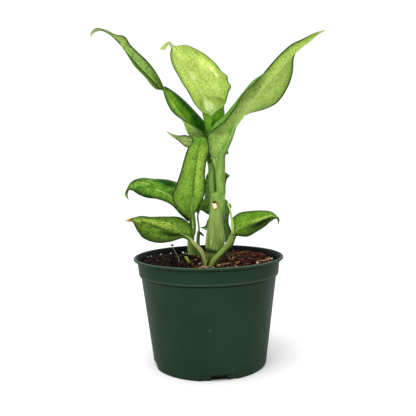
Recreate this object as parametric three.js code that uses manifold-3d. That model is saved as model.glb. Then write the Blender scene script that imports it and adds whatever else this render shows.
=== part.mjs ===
// Potted dieffenbachia: a young plant with nine leaves in a round nursery pot.
// Millimetres, +Z up, origin on the pot's axis at its base. The front of the plant looks along -Y.
import * as THREE from 'three';
import { mergeVertices } from 'three/addons/utils/BufferGeometryUtils.js';
import Module from 'manifold-3d';

const wasm = await Module();
wasm.setup();

// Driving dimensions of the pot
const POT_HEIGHT = 119.5;
const BASE_RADIUS = 62.5;
const BODY_TOP = { radius: 74.7, z: 98.9 };
const COLLAR_FOOT = { radius: 77.1, z: 102.1 };
const COLLAR_TOP = { radius: 78.5, z: 115.8 };
const LIP_RADIUS = 82.5;
const WALL = 2;
const BASE_THICKNESS = 2.4;
const POT_SEGMENTS = 48;

// Drainage notches in the bottom edge
const NOTCH_COUNT = 4;
const NOTCH_WIDTH = 18;
const NOTCH_HEIGHT = 6;
const NOTCH_REACH = 7;
const FIRST_NOTCH_ANGLE = THREE.MathUtils.degToRad(-81.5);

// Potting mix
const SOIL_LEVEL = 110.3;
const SOIL_RINGS = 8;
const SOIL_SEGMENTS = 36;

// Leaves and stalks
const GAP = 0.3;
const BLADE_THICKNESS = 0.9;
const TIP_THICKNESS = 0.6;
const RIB_HEIGHT = 1.5;
const HALF_COLUMNS = 3;
const STEPS_PER_STATION = 2;
const STALK_SIDES = 8;
const STEM_SIDES = 16;
const STEPS_PER_JOINT = 2;

// Finishes
const leafFinish = { color: 0x7fae3f, roughness: 0.42, metalness: 0 };
const oldLeafFinish = { color: 0x4f8a2c, roughness: 0.42, metalness: 0 };
const stemFinish = { color: 0x7c9c4e, roughness: 0.5, metalness: 0 };
const potFinish = { color: 0x2d3e32, roughness: 0.45, metalness: 0 };
const soilFinish = { color: 0x2e1a14, roughness: 0.95, metalness: 0 };

// Solid from an indexed list of corners, with its faces turned outwards
function solidFrom(vertices, triangles) {
  let volume = 0;
  for (const [a, b, c] of triangles) {
    const cross = new THREE.Vector3().crossVectors(vertices[b], vertices[c]);
    volume += vertices[a].dot(cross);
  }
  const outward = volume > 0 ? triangles : triangles.map(([a, b, c]) => [a, c, b]);
  const vertProperties = new Float32Array(vertices.flatMap((v) => [v.x, v.y, v.z]));
  const triVerts = new Uint32Array(outward.flat());
  return new wasm.Manifold(new wasm.Mesh({ numProp: 3, vertProperties, triVerts }));
}

// Solid from a three.js geometry
function solidOf(geometry) {
  const bare = geometry.clone();
  bare.deleteAttribute('normal');
  bare.deleteAttribute('uv');
  const merged = mergeVertices(bare, 1e-4);
  const position = merged.getAttribute('position');
  const vertices = [];
  for (let i = 0; i < position.count; i += 1) {
    vertices.push(new THREE.Vector3().fromBufferAttribute(position, i));
  }
  const index = merged.getIndex().array;
  const triangles = [];
  for (let i = 0; i < index.length; i += 3) {
    const [a, b, c] = [index[i], index[i + 1], index[i + 2]];
    if (a !== b && b !== c && a !== c) triangles.push([a, b, c]);
  }
  return solidFrom(vertices, triangles);
}

// Named mesh from a solid
function meshOf(name, solid, finish) {
  const mesh = solid.getMesh();
  const geometry = new THREE.BufferGeometry();
  geometry.setAttribute('position', new THREE.BufferAttribute(mesh.vertProperties, mesh.numProp));
  geometry.setIndex(new THREE.BufferAttribute(mesh.triVerts, 1));
  const result = new THREE.Mesh(geometry, new THREE.MeshStandardMaterial(finish));
  result.name = name;
  return result;
}

// Smooth line through points that are one station apart
function lineThrough(points) {
  return new THREE.CatmullRomCurve3(points, false, 'centripetal');
}

// Move both ends of a row of points outwards
function lengthen(points, amount) {
  const push = (end, next) => {
    const outward = end.clone().sub(next).normalize();
    end.addScaledVector(outward, amount);
  };
  push(points[0], points[1]);
  push(points[points.length - 1], points[points.length - 2]);
}

// Stalk of changing radius through rows of x, y, z, radius
function stalk(rows, { sides = STALK_SIDES, grow = 0 } = {}) {
  const centres = rows.map(([x, y, z]) => new THREE.Vector3(x, y, z));
  lengthen(centres, grow);
  const radii = rows.map((row) => new THREE.Vector3(row[3], 0, 0));
  const path = lineThrough(centres);
  const widths = lineThrough(radii);
  const steps = (rows.length - 1) * STEPS_PER_JOINT;
  const vertices = [];
  for (let i = 0; i <= steps; i += 1) {
    const t = i / steps;
    const centre = path.getPoint(t);
    const along = path.getTangent(t);
    const radius = widths.getPoint(t).x + grow;
    const side = new THREE.Vector3(0, -1, 0).cross(along).normalize();
    const front = new THREE.Vector3().crossVectors(along, side);
    for (let k = 0; k < sides; k += 1) {
      const turn = (k / sides) * 2 * Math.PI;
      const corner = centre.clone();
      corner.addScaledVector(side, radius * Math.cos(turn));
      corner.addScaledVector(front, radius * Math.sin(turn));
      vertices.push(corner);
    }
  }
  const triangles = [];
  for (let i = 0; i < steps; i += 1) {
    for (let k = 0; k < sides; k += 1) {
      const [a, b] = [i * sides + k, i * sides + ((k + 1) % sides)];
      triangles.push([a, b, b + sides], [a, b + sides, a + sides]);
    }
  }
  const firstCentre = vertices.length;
  vertices.push(path.getPoint(0), path.getPoint(1));
  for (let k = 0; k < sides; k += 1) {
    const next = (k + 1) % sides;
    triangles.push([firstCentre, next, k]);
    triangles.push([firstCentre + 1, steps * sides + k, steps * sides + next]);
  }
  return solidFrom(vertices, triangles);
}

// Point of one half of a blade, from the midrib through its middle to its edge
function acrossHalf(mid, middle, edge, s) {
  const point = mid.clone().multiplyScalar((1 - s) * (1 - 2 * s));
  point.addScaledVector(middle, 4 * s * (1 - s));
  point.addScaledVector(edge, s * (2 * s - 1));
  return point;
}

// Middle of a half that isn't given: halfway out, raised a little as the tissue swells between ribs
function raisedMiddle(mid, edge, along, bow) {
  const reach = edge.clone().sub(mid);
  const up = new THREE.Vector3().crossVectors(along, reach).normalize();
  return mid.clone().add(edge).multiplyScalar(0.5).addScaledVector(up, bow * reach.length());
}

// The five lengthwise lines of a blade. A station is [midrib, left edge, right edge] and, where the
// blade rolls over, the middles of the left and right halves too. All lines end at the tip.
function bladeLines({ stations, tip, bow }) {
  const lines = { mid: [], left: [], right: [], leftMiddle: [], rightMiddle: [] };
  const vector = (point) => new THREE.Vector3(...point);
  const mids = stations.map((station) => vector(station[0]));
  const tipPoint = vector(tip);
  stations.forEach((station, i) => {
    const [mid, left, right] = station.slice(0, 3).map(vector);
    const before = i > 0 ? mids[i - 1] : mid;
    const after = i < stations.length - 1 ? mids[i + 1] : tipPoint;
    const along = after.clone().sub(before).normalize();
    lines.mid.push(mid);
    lines.left.push(left);
    lines.right.push(right);
    lines.leftMiddle.push(station[3] ? vector(station[3]) : raisedMiddle(mid, left, along, bow));
    lines.rightMiddle.push(station[4] ? vector(station[4]) : raisedMiddle(mid, right, along, -bow));
  });
  for (const line of Object.values(lines)) line.push(tipPoint.clone());
  return lines;
}

// Middle surface of a blade, as rows of points from its left edge to its right edge
function bladeGrid(leaf) {
  const lines = bladeLines(leaf);
  const curves = Object.fromEntries(
    Object.entries(lines).map(([name, points]) => [name, lineThrough(points)]),
  );
  const steps = leaf.stations.length * STEPS_PER_STATION;
  const rows = [];
  for (let i = 0; i < steps; i += 1) {
    const at = (name) => curves[name].getPoint(i / steps);
    const row = [];
    for (let k = -HALF_COLUMNS; k <= HALF_COLUMNS; k += 1) {
      const side = k < 0 ? 'left' : 'right';
      row.push(acrossHalf(at('mid'), at(`${side}Middle`), at(side), Math.abs(k) / HALF_COLUMNS));
    }
    rows.push(row);
  }
  return rows;
}

// Blade of a leaf: thin, with a rib under its middle, split alike on both faces
function blade(leaf) {
  const rows = bladeGrid(leaf);
  const columns = 2 * HALF_COLUMNS + 1;
  const vertices = [];
  rows.forEach((row, i) => {
    const share = i / rows.length;
    const half = THREE.MathUtils.lerp(BLADE_THICKNESS, TIP_THICKNESS, share) / 2;
    const rib = (leaf.rib ?? RIB_HEIGHT) * (1 - share) ** 1.5;
    const before = rows[Math.max(i - 1, 0)];
    const after = rows[Math.min(i + 1, rows.length - 1)];
    const faces = row.map((point, k) => {
      const across = row[Math.min(k + 1, columns - 1)].clone().sub(row[Math.max(k - 1, 0)]);
      return across.cross(after[k].clone().sub(before[k])).normalize();
    });
    row.forEach((point, k) => vertices.push(point.clone().addScaledVector(faces[k], half)));
    row.forEach((point, k) => {
      const depth = k === HALF_COLUMNS ? half + rib : half;
      vertices.push(point.clone().addScaledVector(faces[k], -depth));
    });
  });
  const top = (i, k) => i * 2 * columns + k;
  const under = (i, k) => top(i, k) + columns;
  const last = rows.length - 1;
  const tip = vertices.length;
  vertices.push(new THREE.Vector3(...leaf.tip));
  const triangles = [];
  const quad = (a, b, c, d) => triangles.push([a, b, c], [a, c, d]);
  for (let k = 0; k < columns - 1; k += 1) {
    for (let i = 0; i < last; i += 1) {
      quad(top(i, k), top(i, k + 1), top(i + 1, k + 1), top(i + 1, k));
      triangles.push([under(i, k), under(i + 1, k + 1), under(i, k + 1)]);
      triangles.push([under(i, k), under(i + 1, k), under(i + 1, k + 1)]);
    }
    quad(top(0, k), under(0, k), under(0, k + 1), top(0, k + 1));
    triangles.push([top(last, k), top(last, k + 1), tip]);
    triangles.push([under(last, k + 1), under(last, k), tip]);
  }
  for (const [k, turned] of [[0, false], [columns - 1, true]]) {
    const add = (a, b, c) => triangles.push(turned ? [a, c, b] : [a, b, c]);
    for (let i = 0; i < last; i += 1) {
      add(top(i, k), top(i + 1, k), under(i + 1, k));
      add(top(i, k), under(i + 1, k), under(i, k));
    }
    add(top(last, k), tip, under(last, k));
  }
  return solidFrom(vertices, triangles);
}

// Leaf: its blade and its stalk grown together, clear of what it stands against
function leafSolid(leaf, neighbours = []) {
  let solid = blade(leaf).add(stalk(leaf.stalk));
  for (const rows of neighbours) {
    solid = solid.subtract(stalk(rows, { sides: STEM_SIDES, grow: GAP }));
  }
  return solid;
}

// Pot: a turned wall with a stepped collar and a beaded lip, and drainage notches in its bottom edge
function potSolid() {
  const outside = [
    [0, 0],
    [BASE_RADIUS - 1, 0],
    [BASE_RADIUS, 1],
    [BODY_TOP.radius, BODY_TOP.z],
    [COLLAR_FOOT.radius, COLLAR_FOOT.z],
    [COLLAR_TOP.radius, COLLAR_TOP.z],
    [LIP_RADIUS - 1.5, POT_HEIGHT - 3.2],
    [LIP_RADIUS, POT_HEIGHT - 2],
    [LIP_RADIUS - 0.2, POT_HEIGHT - 0.8],
    [LIP_RADIUS - 1.2, POT_HEIGHT],
    [LIP_RADIUS - 2.6, POT_HEIGHT],
  ];
  const inside = [
    [COLLAR_TOP.radius - 0.6, POT_HEIGHT - 2],
    [COLLAR_TOP.radius - WALL, COLLAR_TOP.z - 1.5],
    [COLLAR_FOOT.radius - WALL, COLLAR_FOOT.z],
    [BODY_TOP.radius - WALL, BODY_TOP.z - 0.6],
    [BASE_RADIUS - WALL + 0.3, BASE_THICKNESS],
    [0, BASE_THICKNESS],
  ];
  const profile = [...outside, ...inside].map(([radius, z]) => new THREE.Vector2(radius, z));
  const turned = new THREE.LatheGeometry(profile, POT_SEGMENTS);
  turned.rotateX(Math.PI / 2);
  let solid = solidOf(turned);
  for (let i = 0; i < NOTCH_COUNT; i += 1) {
    const notch = new THREE.BoxGeometry(2 * NOTCH_REACH, NOTCH_WIDTH, 2 * NOTCH_HEIGHT);
    notch.translate(BASE_RADIUS + 1, 0, 0);
    notch.rotateZ(FIRST_NOTCH_ANGLE + (i * 2 * Math.PI) / NOTCH_COUNT);
    solid = solid.subtract(solidOf(notch));
  }
  return solid;
}

// Height of the potting mix: heaped round the stems, at the right back and at the left back
function soilHeight(x, y) {
  const heap = (cx, cy, rise, spread) => rise * Math.exp(-((x - cx) ** 2 + (y - cy) ** 2) / spread ** 2);
  const swell = 0.7 * Math.sin(0.31 * x + 0.8) * Math.sin(0.27 * y + 0.3);
  const crumbs = 0.45 * Math.sin(0.73 * x - 0.52 * y);
  const stemHeaps = heap(-15, 30, 3.4, 28) + heap(4, -18, 1.6, 26);
  const backHeaps = heap(48, 46, 4.2, 34) + heap(-64, 30, 4, 26);
  return SOIL_LEVEL + stemHeaps + backHeaps + swell + crumbs;
}

// Potting mix: it fills the pot to just under the lip, with plain holes for what stands in it
function soilSolid(buried) {
  const wallAt = (z) => {
    const share = THREE.MathUtils.clamp((z - BASE_THICKNESS) / (BODY_TOP.z - BASE_THICKNESS), 0, 1);
    return THREE.MathUtils.lerp(BASE_RADIUS, BODY_TOP.radius, share) - WALL - GAP;
  };
  const rims = [
    [wallAt(0) - 0.4, BASE_THICKNESS + GAP],
    [BODY_TOP.radius - WALL - GAP - 0.4, BODY_TOP.z],
    [COLLAR_FOOT.radius - WALL - GAP - 0.2, COLLAR_FOOT.z + 0.6],
  ];
  const topRadius = COLLAR_TOP.radius - WALL - 1.6;
  const vertices = [new THREE.Vector3(0, 0, BASE_THICKNESS + GAP)];
  const ring = (radius, height) => {
    for (let k = 0; k < SOIL_SEGMENTS; k += 1) {
      const turn = (k / SOIL_SEGMENTS) * 2 * Math.PI;
      const [x, y] = [radius * Math.cos(turn), radius * Math.sin(turn)];
      vertices.push(new THREE.Vector3(x, y, height ?? soilHeight(x, y)));
    }
  };
  for (const [radius, z] of rims) ring(radius, z);
  for (let i = 0; i < SOIL_RINGS; i += 1) ring(topRadius * (1 - i / SOIL_RINGS));
  const centre = vertices.length;
  vertices.push(new THREE.Vector3(0, 0, soilHeight(0, 0)));
  const rings = rims.length + SOIL_RINGS;
  const triangles = [];
  for (let k = 0; k < SOIL_SEGMENTS; k += 1) {
    const next = (k + 1) % SOIL_SEGMENTS;
    triangles.push([0, 1 + next, 1 + k]);
    for (let i = 0; i < rings - 1; i += 1) {
      const [a, b] = [1 + i * SOIL_SEGMENTS + k, 1 + i * SOIL_SEGMENTS + next];
      triangles.push([a, b, b + SOIL_SEGMENTS], [a, b + SOIL_SEGMENTS, a + SOIL_SEGMENTS]);
    }
    const lastRing = 1 + (rings - 1) * SOIL_SEGMENTS;
    triangles.push([lastRing + k, lastRing + next, centre]);
  }
  let solid = solidFrom(vertices, triangles);
  for (const { rows, sides } of buried) solid = solid.subtract(stalk(rows, { sides, grow: GAP }));
  return solid;
}

// Swollen sheath of the main stem, and the shoot inside it that carries the three top leaves
const sheathRows = [
  [3, -20, 84, 8.5], [2.5, -21, 102, 7.5], [2.8, -21.5, 113, 6.9], [4.2, -20.5, 121, 7.7],
  [5.8, -18.8, 128, 9.5], [7.6, -17, 138, 10.3], [8, -15, 154, 8.5], [8.4, -12, 170, 6.3], [8, -10, 182, 5.4],
];
const shootRows = [[10, -9, 153, 6.5], [12, -8, 170, 7.2], [11.5, -7, 181, 7.8], [11.5, -7, 187, 8]];
const budRows = [[1.2, -27.5, 110, 2.2], [0, -29.5, 118.5, 2.6], [0.6, -28.6, 123, 1.9]];
const leftStemRows = [
  [-20, 32, 94, 4.6], [-19, 34, 112, 4.6], [-20, 30, 123, 4.3], [-20, 25, 133, 4], [-18, 20, 143, 3.2],
];
const smallStemRows = [[-10, 40, 96, 2.6], [-12, 38, 120, 2.4], [-12, 37, 132, 2.2], [-11, 36, 142, 1.9]];
const hookedLeafletRows = [[-11, 36, 140, 1.2], [-9, 35, 139, 1.5], [-6, 34, 137, 0.8]];
const seedlingRows = [
  [-33, 5, 104, 0.5], [-33, 4, 112, 0.5], [-34, 4, 117, 0.5], [-37, 3, 123, 0.5], [-40, 2, 128, 0.5],
  [-40, 2, 131, 1.6], [-40, 2, 133, 0.6],
];

// Scar of a cut leaf at the top of the sheath: a slanting face with a small hole in it
const SCAR_FOOT = new THREE.Vector3(8, -18, 171.5);
const SCAR_TILT = THREE.MathUtils.degToRad(68);
const SCAR_HOLE = { x: 7.5, y: -15, z: 179, radius: 1.4, depth: 7, sides: 10 };

function mainStemSolid() {
  const cutSize = 40;
  const cut = new THREE.BoxGeometry(cutSize, cutSize, cutSize);
  cut.translate(0, 0, cutSize / 2);
  cut.rotateX(SCAR_TILT);
  cut.translate(SCAR_FOOT.x, SCAR_FOOT.y, SCAR_FOOT.z);
  const sheath = stalk(sheathRows, { sides: STEM_SIDES }).subtract(solidOf(cut));
  const shoot = stalk(shootRows, { sides: STEM_SIDES });
  const bud = stalk(budRows);
  const { x, y, z, radius, depth, sides } = SCAR_HOLE;
  const hole = new THREE.CylinderGeometry(radius, radius, depth, sides);
  hole.translate(x, y, z);
  return sheath.add(shoot).add(bud).subtract(solidOf(hole));
}

// Leaf at the upper left: its inner part is a trough, and it twists over to show its underside
const upperLeftLeaf = {
  bow: 0.1,
  stations: [
    [[-4, 4, 232], [-5, 2, 236], [-2, 7, 237]],
    [[-11, 6, 240], [-3, -4, 255], [2, 18, 263]],
    [[-19, 7, 254], [-9.6, -8, 259.3], [-2.5, 21, 269]],
    [[-25, 8, 269], [-21, -9, 265], [-11.4, 22, 279.2]],
    [[-33, 8, 283], [-35.8, -8, 276.4], [-24.7, 20, 293]],
    [[-41, 8, 295], [-43, -7, 290], [-36, 17, 302]],
    [[-47, 7, 305], [-46, -7, 302], [-45, 6, 306], null, [-47, 8, 302]],
    [[-54, 5, 315], [-50.5, -4, 315.5], [-48.4, -3, 302], null, [-56, 4, 305]],
    [[-64, 3, 327], [-62, 0, 332], [-58, -5, 312.2], null, [-66, 2, 317]],
    [[-74, 2, 338], [-71.6, 0, 341.4], [-69, -5, 324], null, [-78, 1, 330]],
    [[-84, 0, 348], [-80, 0, 350], [-81, -3, 338], null, [-85, 1, 342]],
    [[-92, -2, 355], [-86, 0, 359], [-94, -2, 353]],
    [[-99, -3, 360], [-96, -2, 361], [-100, -3, 359]],
    [[-108, -4, 365], [-107, -3, 366], [-109, -4, 364]],
    [[-115, -5, 365], [-116, -5, 367], [-114, -5, 364]],
    [[-120.6, -5, 362], [-121.6, -5, 362], [-119.6, -5, 361]],
  ],
  tip: [-122.2, -5, 357],
  stalk: [
    [6, -5, 186, 3.3], [5, -5, 197, 3.4], [4.8, -4, 210, 3.4], [3.6, -1.4, 222, 3.1], [-3, 4, 232, 2.4],
    [-11, 6, 240, 1.6],
  ],
};

// Newest leaf, in the middle: upright and broad, its foot rolled into a funnel
const centreLeaf = {
  bow: 0.05,
  stations: [
    [[5, 4, 252], [6, -4, 251], [4, -1, 252], [1, 0, 253], [8, 0, 253]],
    [[6, 8, 262], [7, -8, 262], [5, -4, 262], [-1, -1, 262], [14, 1, 261]],
    [[7, 11, 272], [8, -10, 269], [5, -6, 270], [-3, 0, 272], [20, 2, 271]],
    [[3, 13, 285], [-4, -6, 276], [20.2, -4, 283.4], [-5, 5, 282], [17.2, 7, 287.4]],
    [[-4, 14, 298], [-13, 0, 287], [23.6, -3, 292]],
    [[-8, 14, 305], [-17, 2, 295], [25, -2, 297]],
    [[-11, 14, 310], [-21, 4, 302], [28, 0, 304]],
    [[-15, 14, 316], [-26, 6, 310], [25, 2, 309.4]],
    [[-18, 14, 323], [-30, 8, 318], [24, 3, 315.6]],
    [[-22, 13, 328], [-34, 9, 325], [17, 4, 321.8]],
    [[-25, 12, 334], [-37, 9, 333], [14, 5, 327]],
    [[-30, 11, 340], [-38, 9, 338], [4, 6, 337]],
    [[-33, 10, 344], [-38, 9, 343], [-6.4, 6, 344]],
    [[-35, 8, 347], [-37, 8, 347], [-20, 6, 350]],
    [[-36, 7, 349], [-37, 7, 348], [-34, 7, 350]],
    [[-38, 6, 352], [-39, 5, 351], [-38, 6, 354]],
    [[-43, 5, 348.4], [-43.4, 4, 345.4], [-44, 5, 351]],
  ],
  tip: [-49, 3, 345.4],
  stalk: [
    [12, -1.5, 186, 2.6], [10, 1, 197, 3], [9, 3, 210, 3], [8, 4, 225, 2.8], [7, 4, 240, 2.3],
    [5, 4, 252, 1.6], [6, 8, 262, 1],
  ],
};

// Leaf at the right: long, seen from below, its near edge rolled over
const rightLeaf = {
  bow: 0.08,
  stations: [
    [[14.6, -9.4, 225.6], [24, -4, 231], [3.6, -9, 228]],
    [[21, -12, 236], [22, 2, 242], [-0.2, -13, 237.4]],
    [[26, -14, 246], [27, 4, 259], [0.8, -16, 249.4]],
    [[31, -16, 258], [37, 2, 269], [7, -18, 255], null, [10.6, -8, 261.4]],
    [[38, -19, 268], [47, -2, 274], [20, -21, 264], null, [20.6, -10, 271.4]],
    [[46, -22, 280], [61.5, -8, 277.2], [32, -25, 279], null, [28.7, -14, 280.3]],
    [[55, -25, 291], [75.7, -14, 283.4], [40, -28, 292], null, [40.6, -18, 293.4]],
    [[65, -28, 303], [86, -20, 297.6], [52, -30, 302], null, [51, -22, 306]],
    [[76, -31, 314], [90.8, -25, 311.8], [64, -30, 317]],
    [[85, -34, 324], [92, -29, 328], [76, -30, 330]],
    [[95, -36, 333], [97, -30, 338], [88, -32, 340]],
    [[106, -38, 341], [106, -34, 346], [100, -36, 345]],
    [[115, -40, 348], [115, -39, 350], [112, -39, 350]],
  ],
  tip: [123, -42, 352],
  stalk: [
    [15, -9.5, 186, 4.6], [14.7, -9, 197, 4.9], [14.5, -9, 208, 5], [15, -9, 219, 5],
    [16, -10, 228, 4.3], [21, -12, 236, 2.3], [26, -14, 246, 1.9],
  ],
};

// Leaf in front: it stands up before the stems, arches over at the top and turns its tip back
const frontLeaf = {
  bow: 0.08,
  stations: [
    [[-17, 8, 161], [-21, 7, 158], [-15, 8, 164]],
    [[-17, 2, 172], [-30, -4, 168], [-9, -2, 175]],
    [[-16, -4, 184], [-38, -11, 185], [-4, -8, 184]],
    [[-15, -8, 198], [-33, -14, 199], [-2, -11, 196]],
    [[-13, -12, 212], [-28, -17, 213], [-2, -14, 210]],
    [[-11, -15, 225], [-24, -18, 226], [0, -17, 224]],
    [[-9, -17, 236], [-20, -18, 237], [3, -19, 235]],
    [[-6, -16, 245], [-15, -16, 244], [1, -19, 247]],
    [[-9, -11, 248], [-16, -11, 248], [-3, -13, 247]],
    [[-16, -5, 245], [-18, -8, 250], [-13, -4, 238]],
    [[-23, 0, 246], [-23, -4, 252], [-22, 3, 239]],
    [[-31, 5, 250], [-31, 3, 252], [-32, 6, 247]],
    [[-40, 9, 254], [-39, 9, 255], [-40, 9, 253]],
  ],
  tip: [-46, 12, 259],
  stalk: [
    [-17, 21, 139, 2.6], [-15.8, 16, 150, 2.4], [-16.2, 9, 161, 2.3], [-17, 2, 172, 1.5],
  ],
};

// Leaf at the middle left
const middleLeftLeaf = {
  bow: 0.1,
  stations: [
    [[-20, 12, 159], [-22.4, 10, 156], [-20, 14, 161]],
    [[-28, 8, 172], [-30.4, 0, 165.4], [-21, 16, 184]],
    [[-38, 4, 184], [-40.6, -6, 177], [-27, 16, 196]],
    [[-51, 0, 193], [-54, -10, 183], [-42, 14, 203]],
    [[-65, -3, 198], [-66, -12, 185], [-60, 10, 205]],
    [[-75, -6, 200], [-75, -13, 189], [-74, 4, 206]],
    [[-82, -8, 198], [-81, -11, 193], [-83, -3, 202]],
    [[-86, -9, 194], [-85, -9, 193], [-87, -9, 195]],
    [[-87.6, -9, 188.6], [-86.4, -9, 188.6], [-89.4, -9, 188.6]],
  ],
  tip: [-85.4, -8, 181.6],
  stalk: [[-20, 24, 138, 2.6], [-20, 21, 148, 2], [-20, 13, 159, 1.6], [-28, 8, 172, 1.2]],
};

// Leaf at the lower left, on a stalk from the foot of the main stem
const lowerLeftLeaf = {
  bow: 0.1,
  stations: [
    [[-19, -25, 140], [-20, -27, 139], [-17, -23, 141]],
    [[-25, -27, 145], [-26, -34, 143], [-17, -18, 152]],
    [[-38, -29, 149], [-39, -41, 140.4], [-28, -16, 162.8]],
    [[-50, -32, 154], [-53, -45, 140.2], [-46, -19, 164.8]],
    [[-61, -35, 159], [-66.4, -46, 145.4], [-61, -25, 165.4]],
    [[-70, -38, 162], [-73, -45, 154], [-70, -32, 167]],
    [[-76, -40, 164], [-78, -41, 162], [-76, -38, 166]],
    [[-81, -41, 163], [-81, -41, 162], [-81, -41, 165]],
  ],
  tip: [-85, -42, 163],
  stalk: [
    [-2.5, -26.5, 108, 2.8], [-4.6, -27.5, 120, 2.9], [-8.4, -28, 128, 2.8], [-13.4, -27, 134, 2.6],
    [-19, -25, 140, 2], [-26, -27, 145, 1.5],
  ],
};

// Leaf at the lower right, on the other stalk from the foot of the main stem
const lowerRightLeaf = {
  bow: 0.1,
  stations: [
    [[27, -27, 145], [25, -24, 149], [28, -29, 144]],
    [[32, -27, 150], [26, -14, 160], [33, -34, 144]],
    [[41, -27, 154], [34, -12, 166.6], [41, -38, 144]],
    [[51, -26, 157], [46, -12, 168.6], [51, -37, 149]],
    [[61, -25, 161], [59, -14, 169], [60, -34, 154]],
    [[68, -24, 163], [68, -18, 168], [67, -29, 159]],
    [[72, -24, 162], [73, -22, 164], [72, -26, 161]],
    [[75, -24, 159], [76, -24, 160], [74, -24, 159]],
  ],
  tip: [74.6, -24, 153.6],
  stalk: [
    [1.5, -29.5, 108, 3.2], [5, -30.5, 116.5, 3.4], [11.4, -30.6, 124, 3.3], [17, -29, 129.6, 3.4],
    [22.6, -27.4, 135.6, 4], [26.8, -26, 144, 3.5], [32, -27, 150, 1.6],
  ],
};

// Small leaf at the back, on the stalk of the small shoot
const backLeaf = {
  bow: 0.1,
  rib: 0.8,
  stations: [
    [[-12, 30, 163], [-13, 30, 165], [-11, 30, 163]],
    [[-8, 28, 171], [-13, 30, 178], [-7, 18, 168]],
    [[-1, 26, 175], [-4, 36, 180], [2, 17, 163]],
    [[6, 26, 183], [-3, 38, 187], [13, 17, 171]],
    [[11, 27, 192], [-3, 38, 197], [20, 16, 184]],
    [[17, 28, 200], [2, 36, 211], [21, 20, 196]],
    [[22, 29, 205], [17, 33, 212], [23, 26, 203]],
  ],
  tip: [27, 30, 207],
  stalk: [[-11, 36, 142.5, 1.1], [-11, 35, 151, 1], [-12, 32, 159, 1], [-8, 28, 171, 0.8]],
};

// Small leaf that hangs behind the main stem, on a thin stalk from the lower right leaf's stalk
const hangingLeaf = {
  bow: 0.12,
  rib: 0.8,
  stations: [
    [[22, -10, 176], [21, -9, 178], [24, -10, 175]],
    [[22, -4, 178], [18, 2, 181], [26, -4, 173]],
    [[20, 2, 174], [12, 6, 176], [24, 1, 166]],
    [[18, 5, 164], [7, 9, 167], [23, 4, 155]],
    [[14, 8, 154], [0, 12, 158], [26, 7, 143]],
    [[7, 12, 148], [-3, 14, 150.6], [21, 9, 132]],
    [[-2, 13, 147.6], [-5, 14, 149.8], [3, 12, 143.6]],
  ],
  tip: [-9, 13, 149],
  stalk: [
    [26, -26, 143, 1.2], [26, -30, 147, 1.3], [26, -28, 155, 1.3], [25, -22, 164, 1.2],
    [24, -15, 171, 1.1], [22, -9, 177, 1],
  ],
};

const buriedStems = [
  { rows: sheathRows, sides: STEM_SIDES },
  { rows: budRows, sides: STALK_SIDES },
  { rows: leftStemRows, sides: STEM_SIDES },
  { rows: smallStemRows, sides: STALK_SIDES },
  { rows: seedlingRows, sides: 6 },
  { rows: lowerLeftLeaf.stalk, sides: STALK_SIDES },
  { rows: lowerRightLeaf.stalk, sides: STALK_SIDES },
];
const smallStem = stalk(smallStemRows).add(stalk(hookedLeafletRows, { sides: 6 }));

const plant = new THREE.Group();
plant.add(
  meshOf('pot', potSolid(), potFinish),
  meshOf('potting_mix', soilSolid(buriedStems), soilFinish),
  meshOf('main_stem', mainStemSolid(), stemFinish),
  meshOf('left_stem', stalk(leftStemRows, { sides: STEM_SIDES }), stemFinish),
  meshOf('small_stem', smallStem, stemFinish),
  meshOf('seedling', stalk(seedlingRows, { sides: 6 }), stemFinish),
  meshOf('leaf_upper_left', leafSolid(upperLeftLeaf, [shootRows]), leafFinish),
  meshOf('leaf_centre', leafSolid(centreLeaf, [shootRows]), leafFinish),
  meshOf('leaf_right', leafSolid(rightLeaf, [shootRows]), leafFinish),
  meshOf('leaf_front', leafSolid(frontLeaf, [leftStemRows]), leafFinish),
  meshOf('leaf_middle_left', leafSolid(middleLeftLeaf, [leftStemRows, frontLeaf.stalk]), oldLeafFinish),
  meshOf('leaf_lower_left', leafSolid(lowerLeftLeaf, [sheathRows, budRows]), oldLeafFinish),
  meshOf('leaf_lower_right', leafSolid(
    lowerRightLeaf,
    [sheathRows, budRows, lowerLeftLeaf.stalk],
  ), oldLeafFinish),
  meshOf('leaf_back', leafSolid(backLeaf, [smallStemRows]), oldLeafFinish),
  meshOf('leaf_behind_stem', leafSolid(hangingLeaf, [lowerRightLeaf.stalk]), oldLeafFinish),
);

export default plant;
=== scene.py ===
# Potted dieffenbachia: fine pot, potting mix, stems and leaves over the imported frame. Shapes are in mm.
import math
import random

import bmesh
import bpy
import numpy as np
from mathutils import Matrix, Vector, noise


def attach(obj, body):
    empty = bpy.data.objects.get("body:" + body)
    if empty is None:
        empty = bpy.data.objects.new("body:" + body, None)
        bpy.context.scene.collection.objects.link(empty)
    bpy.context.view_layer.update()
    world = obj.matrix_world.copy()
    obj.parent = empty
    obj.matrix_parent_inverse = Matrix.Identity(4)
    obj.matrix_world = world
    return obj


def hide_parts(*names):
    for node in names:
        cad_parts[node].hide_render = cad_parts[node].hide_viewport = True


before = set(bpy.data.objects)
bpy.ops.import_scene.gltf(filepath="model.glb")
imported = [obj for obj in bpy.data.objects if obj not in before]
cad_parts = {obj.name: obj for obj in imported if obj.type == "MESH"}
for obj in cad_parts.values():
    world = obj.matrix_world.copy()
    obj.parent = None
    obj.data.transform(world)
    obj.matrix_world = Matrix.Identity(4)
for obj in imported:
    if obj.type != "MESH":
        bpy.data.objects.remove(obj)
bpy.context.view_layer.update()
MM = 0.001
FULL_TURN = 2 * math.pi

# Pot
POT_HEIGHT = 119.5
BASE_RADIUS = 62.5
BODY_TOP = (74.7, 98.9)
COLLAR_FOOT = (77.1, 102.1)
COLLAR_TOP = (78.5, 115.8)
LIP_RADIUS = 82.5
WALL = 2.0
BASE_THICKNESS = 2.4
POT_SIDES = 240
# Creases darkened with painted shade: height, half width, share
POT_SHADED_CREASES = ((116.0, 0.5, 0.8), (99.4, 0.5, 0.85))
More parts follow.
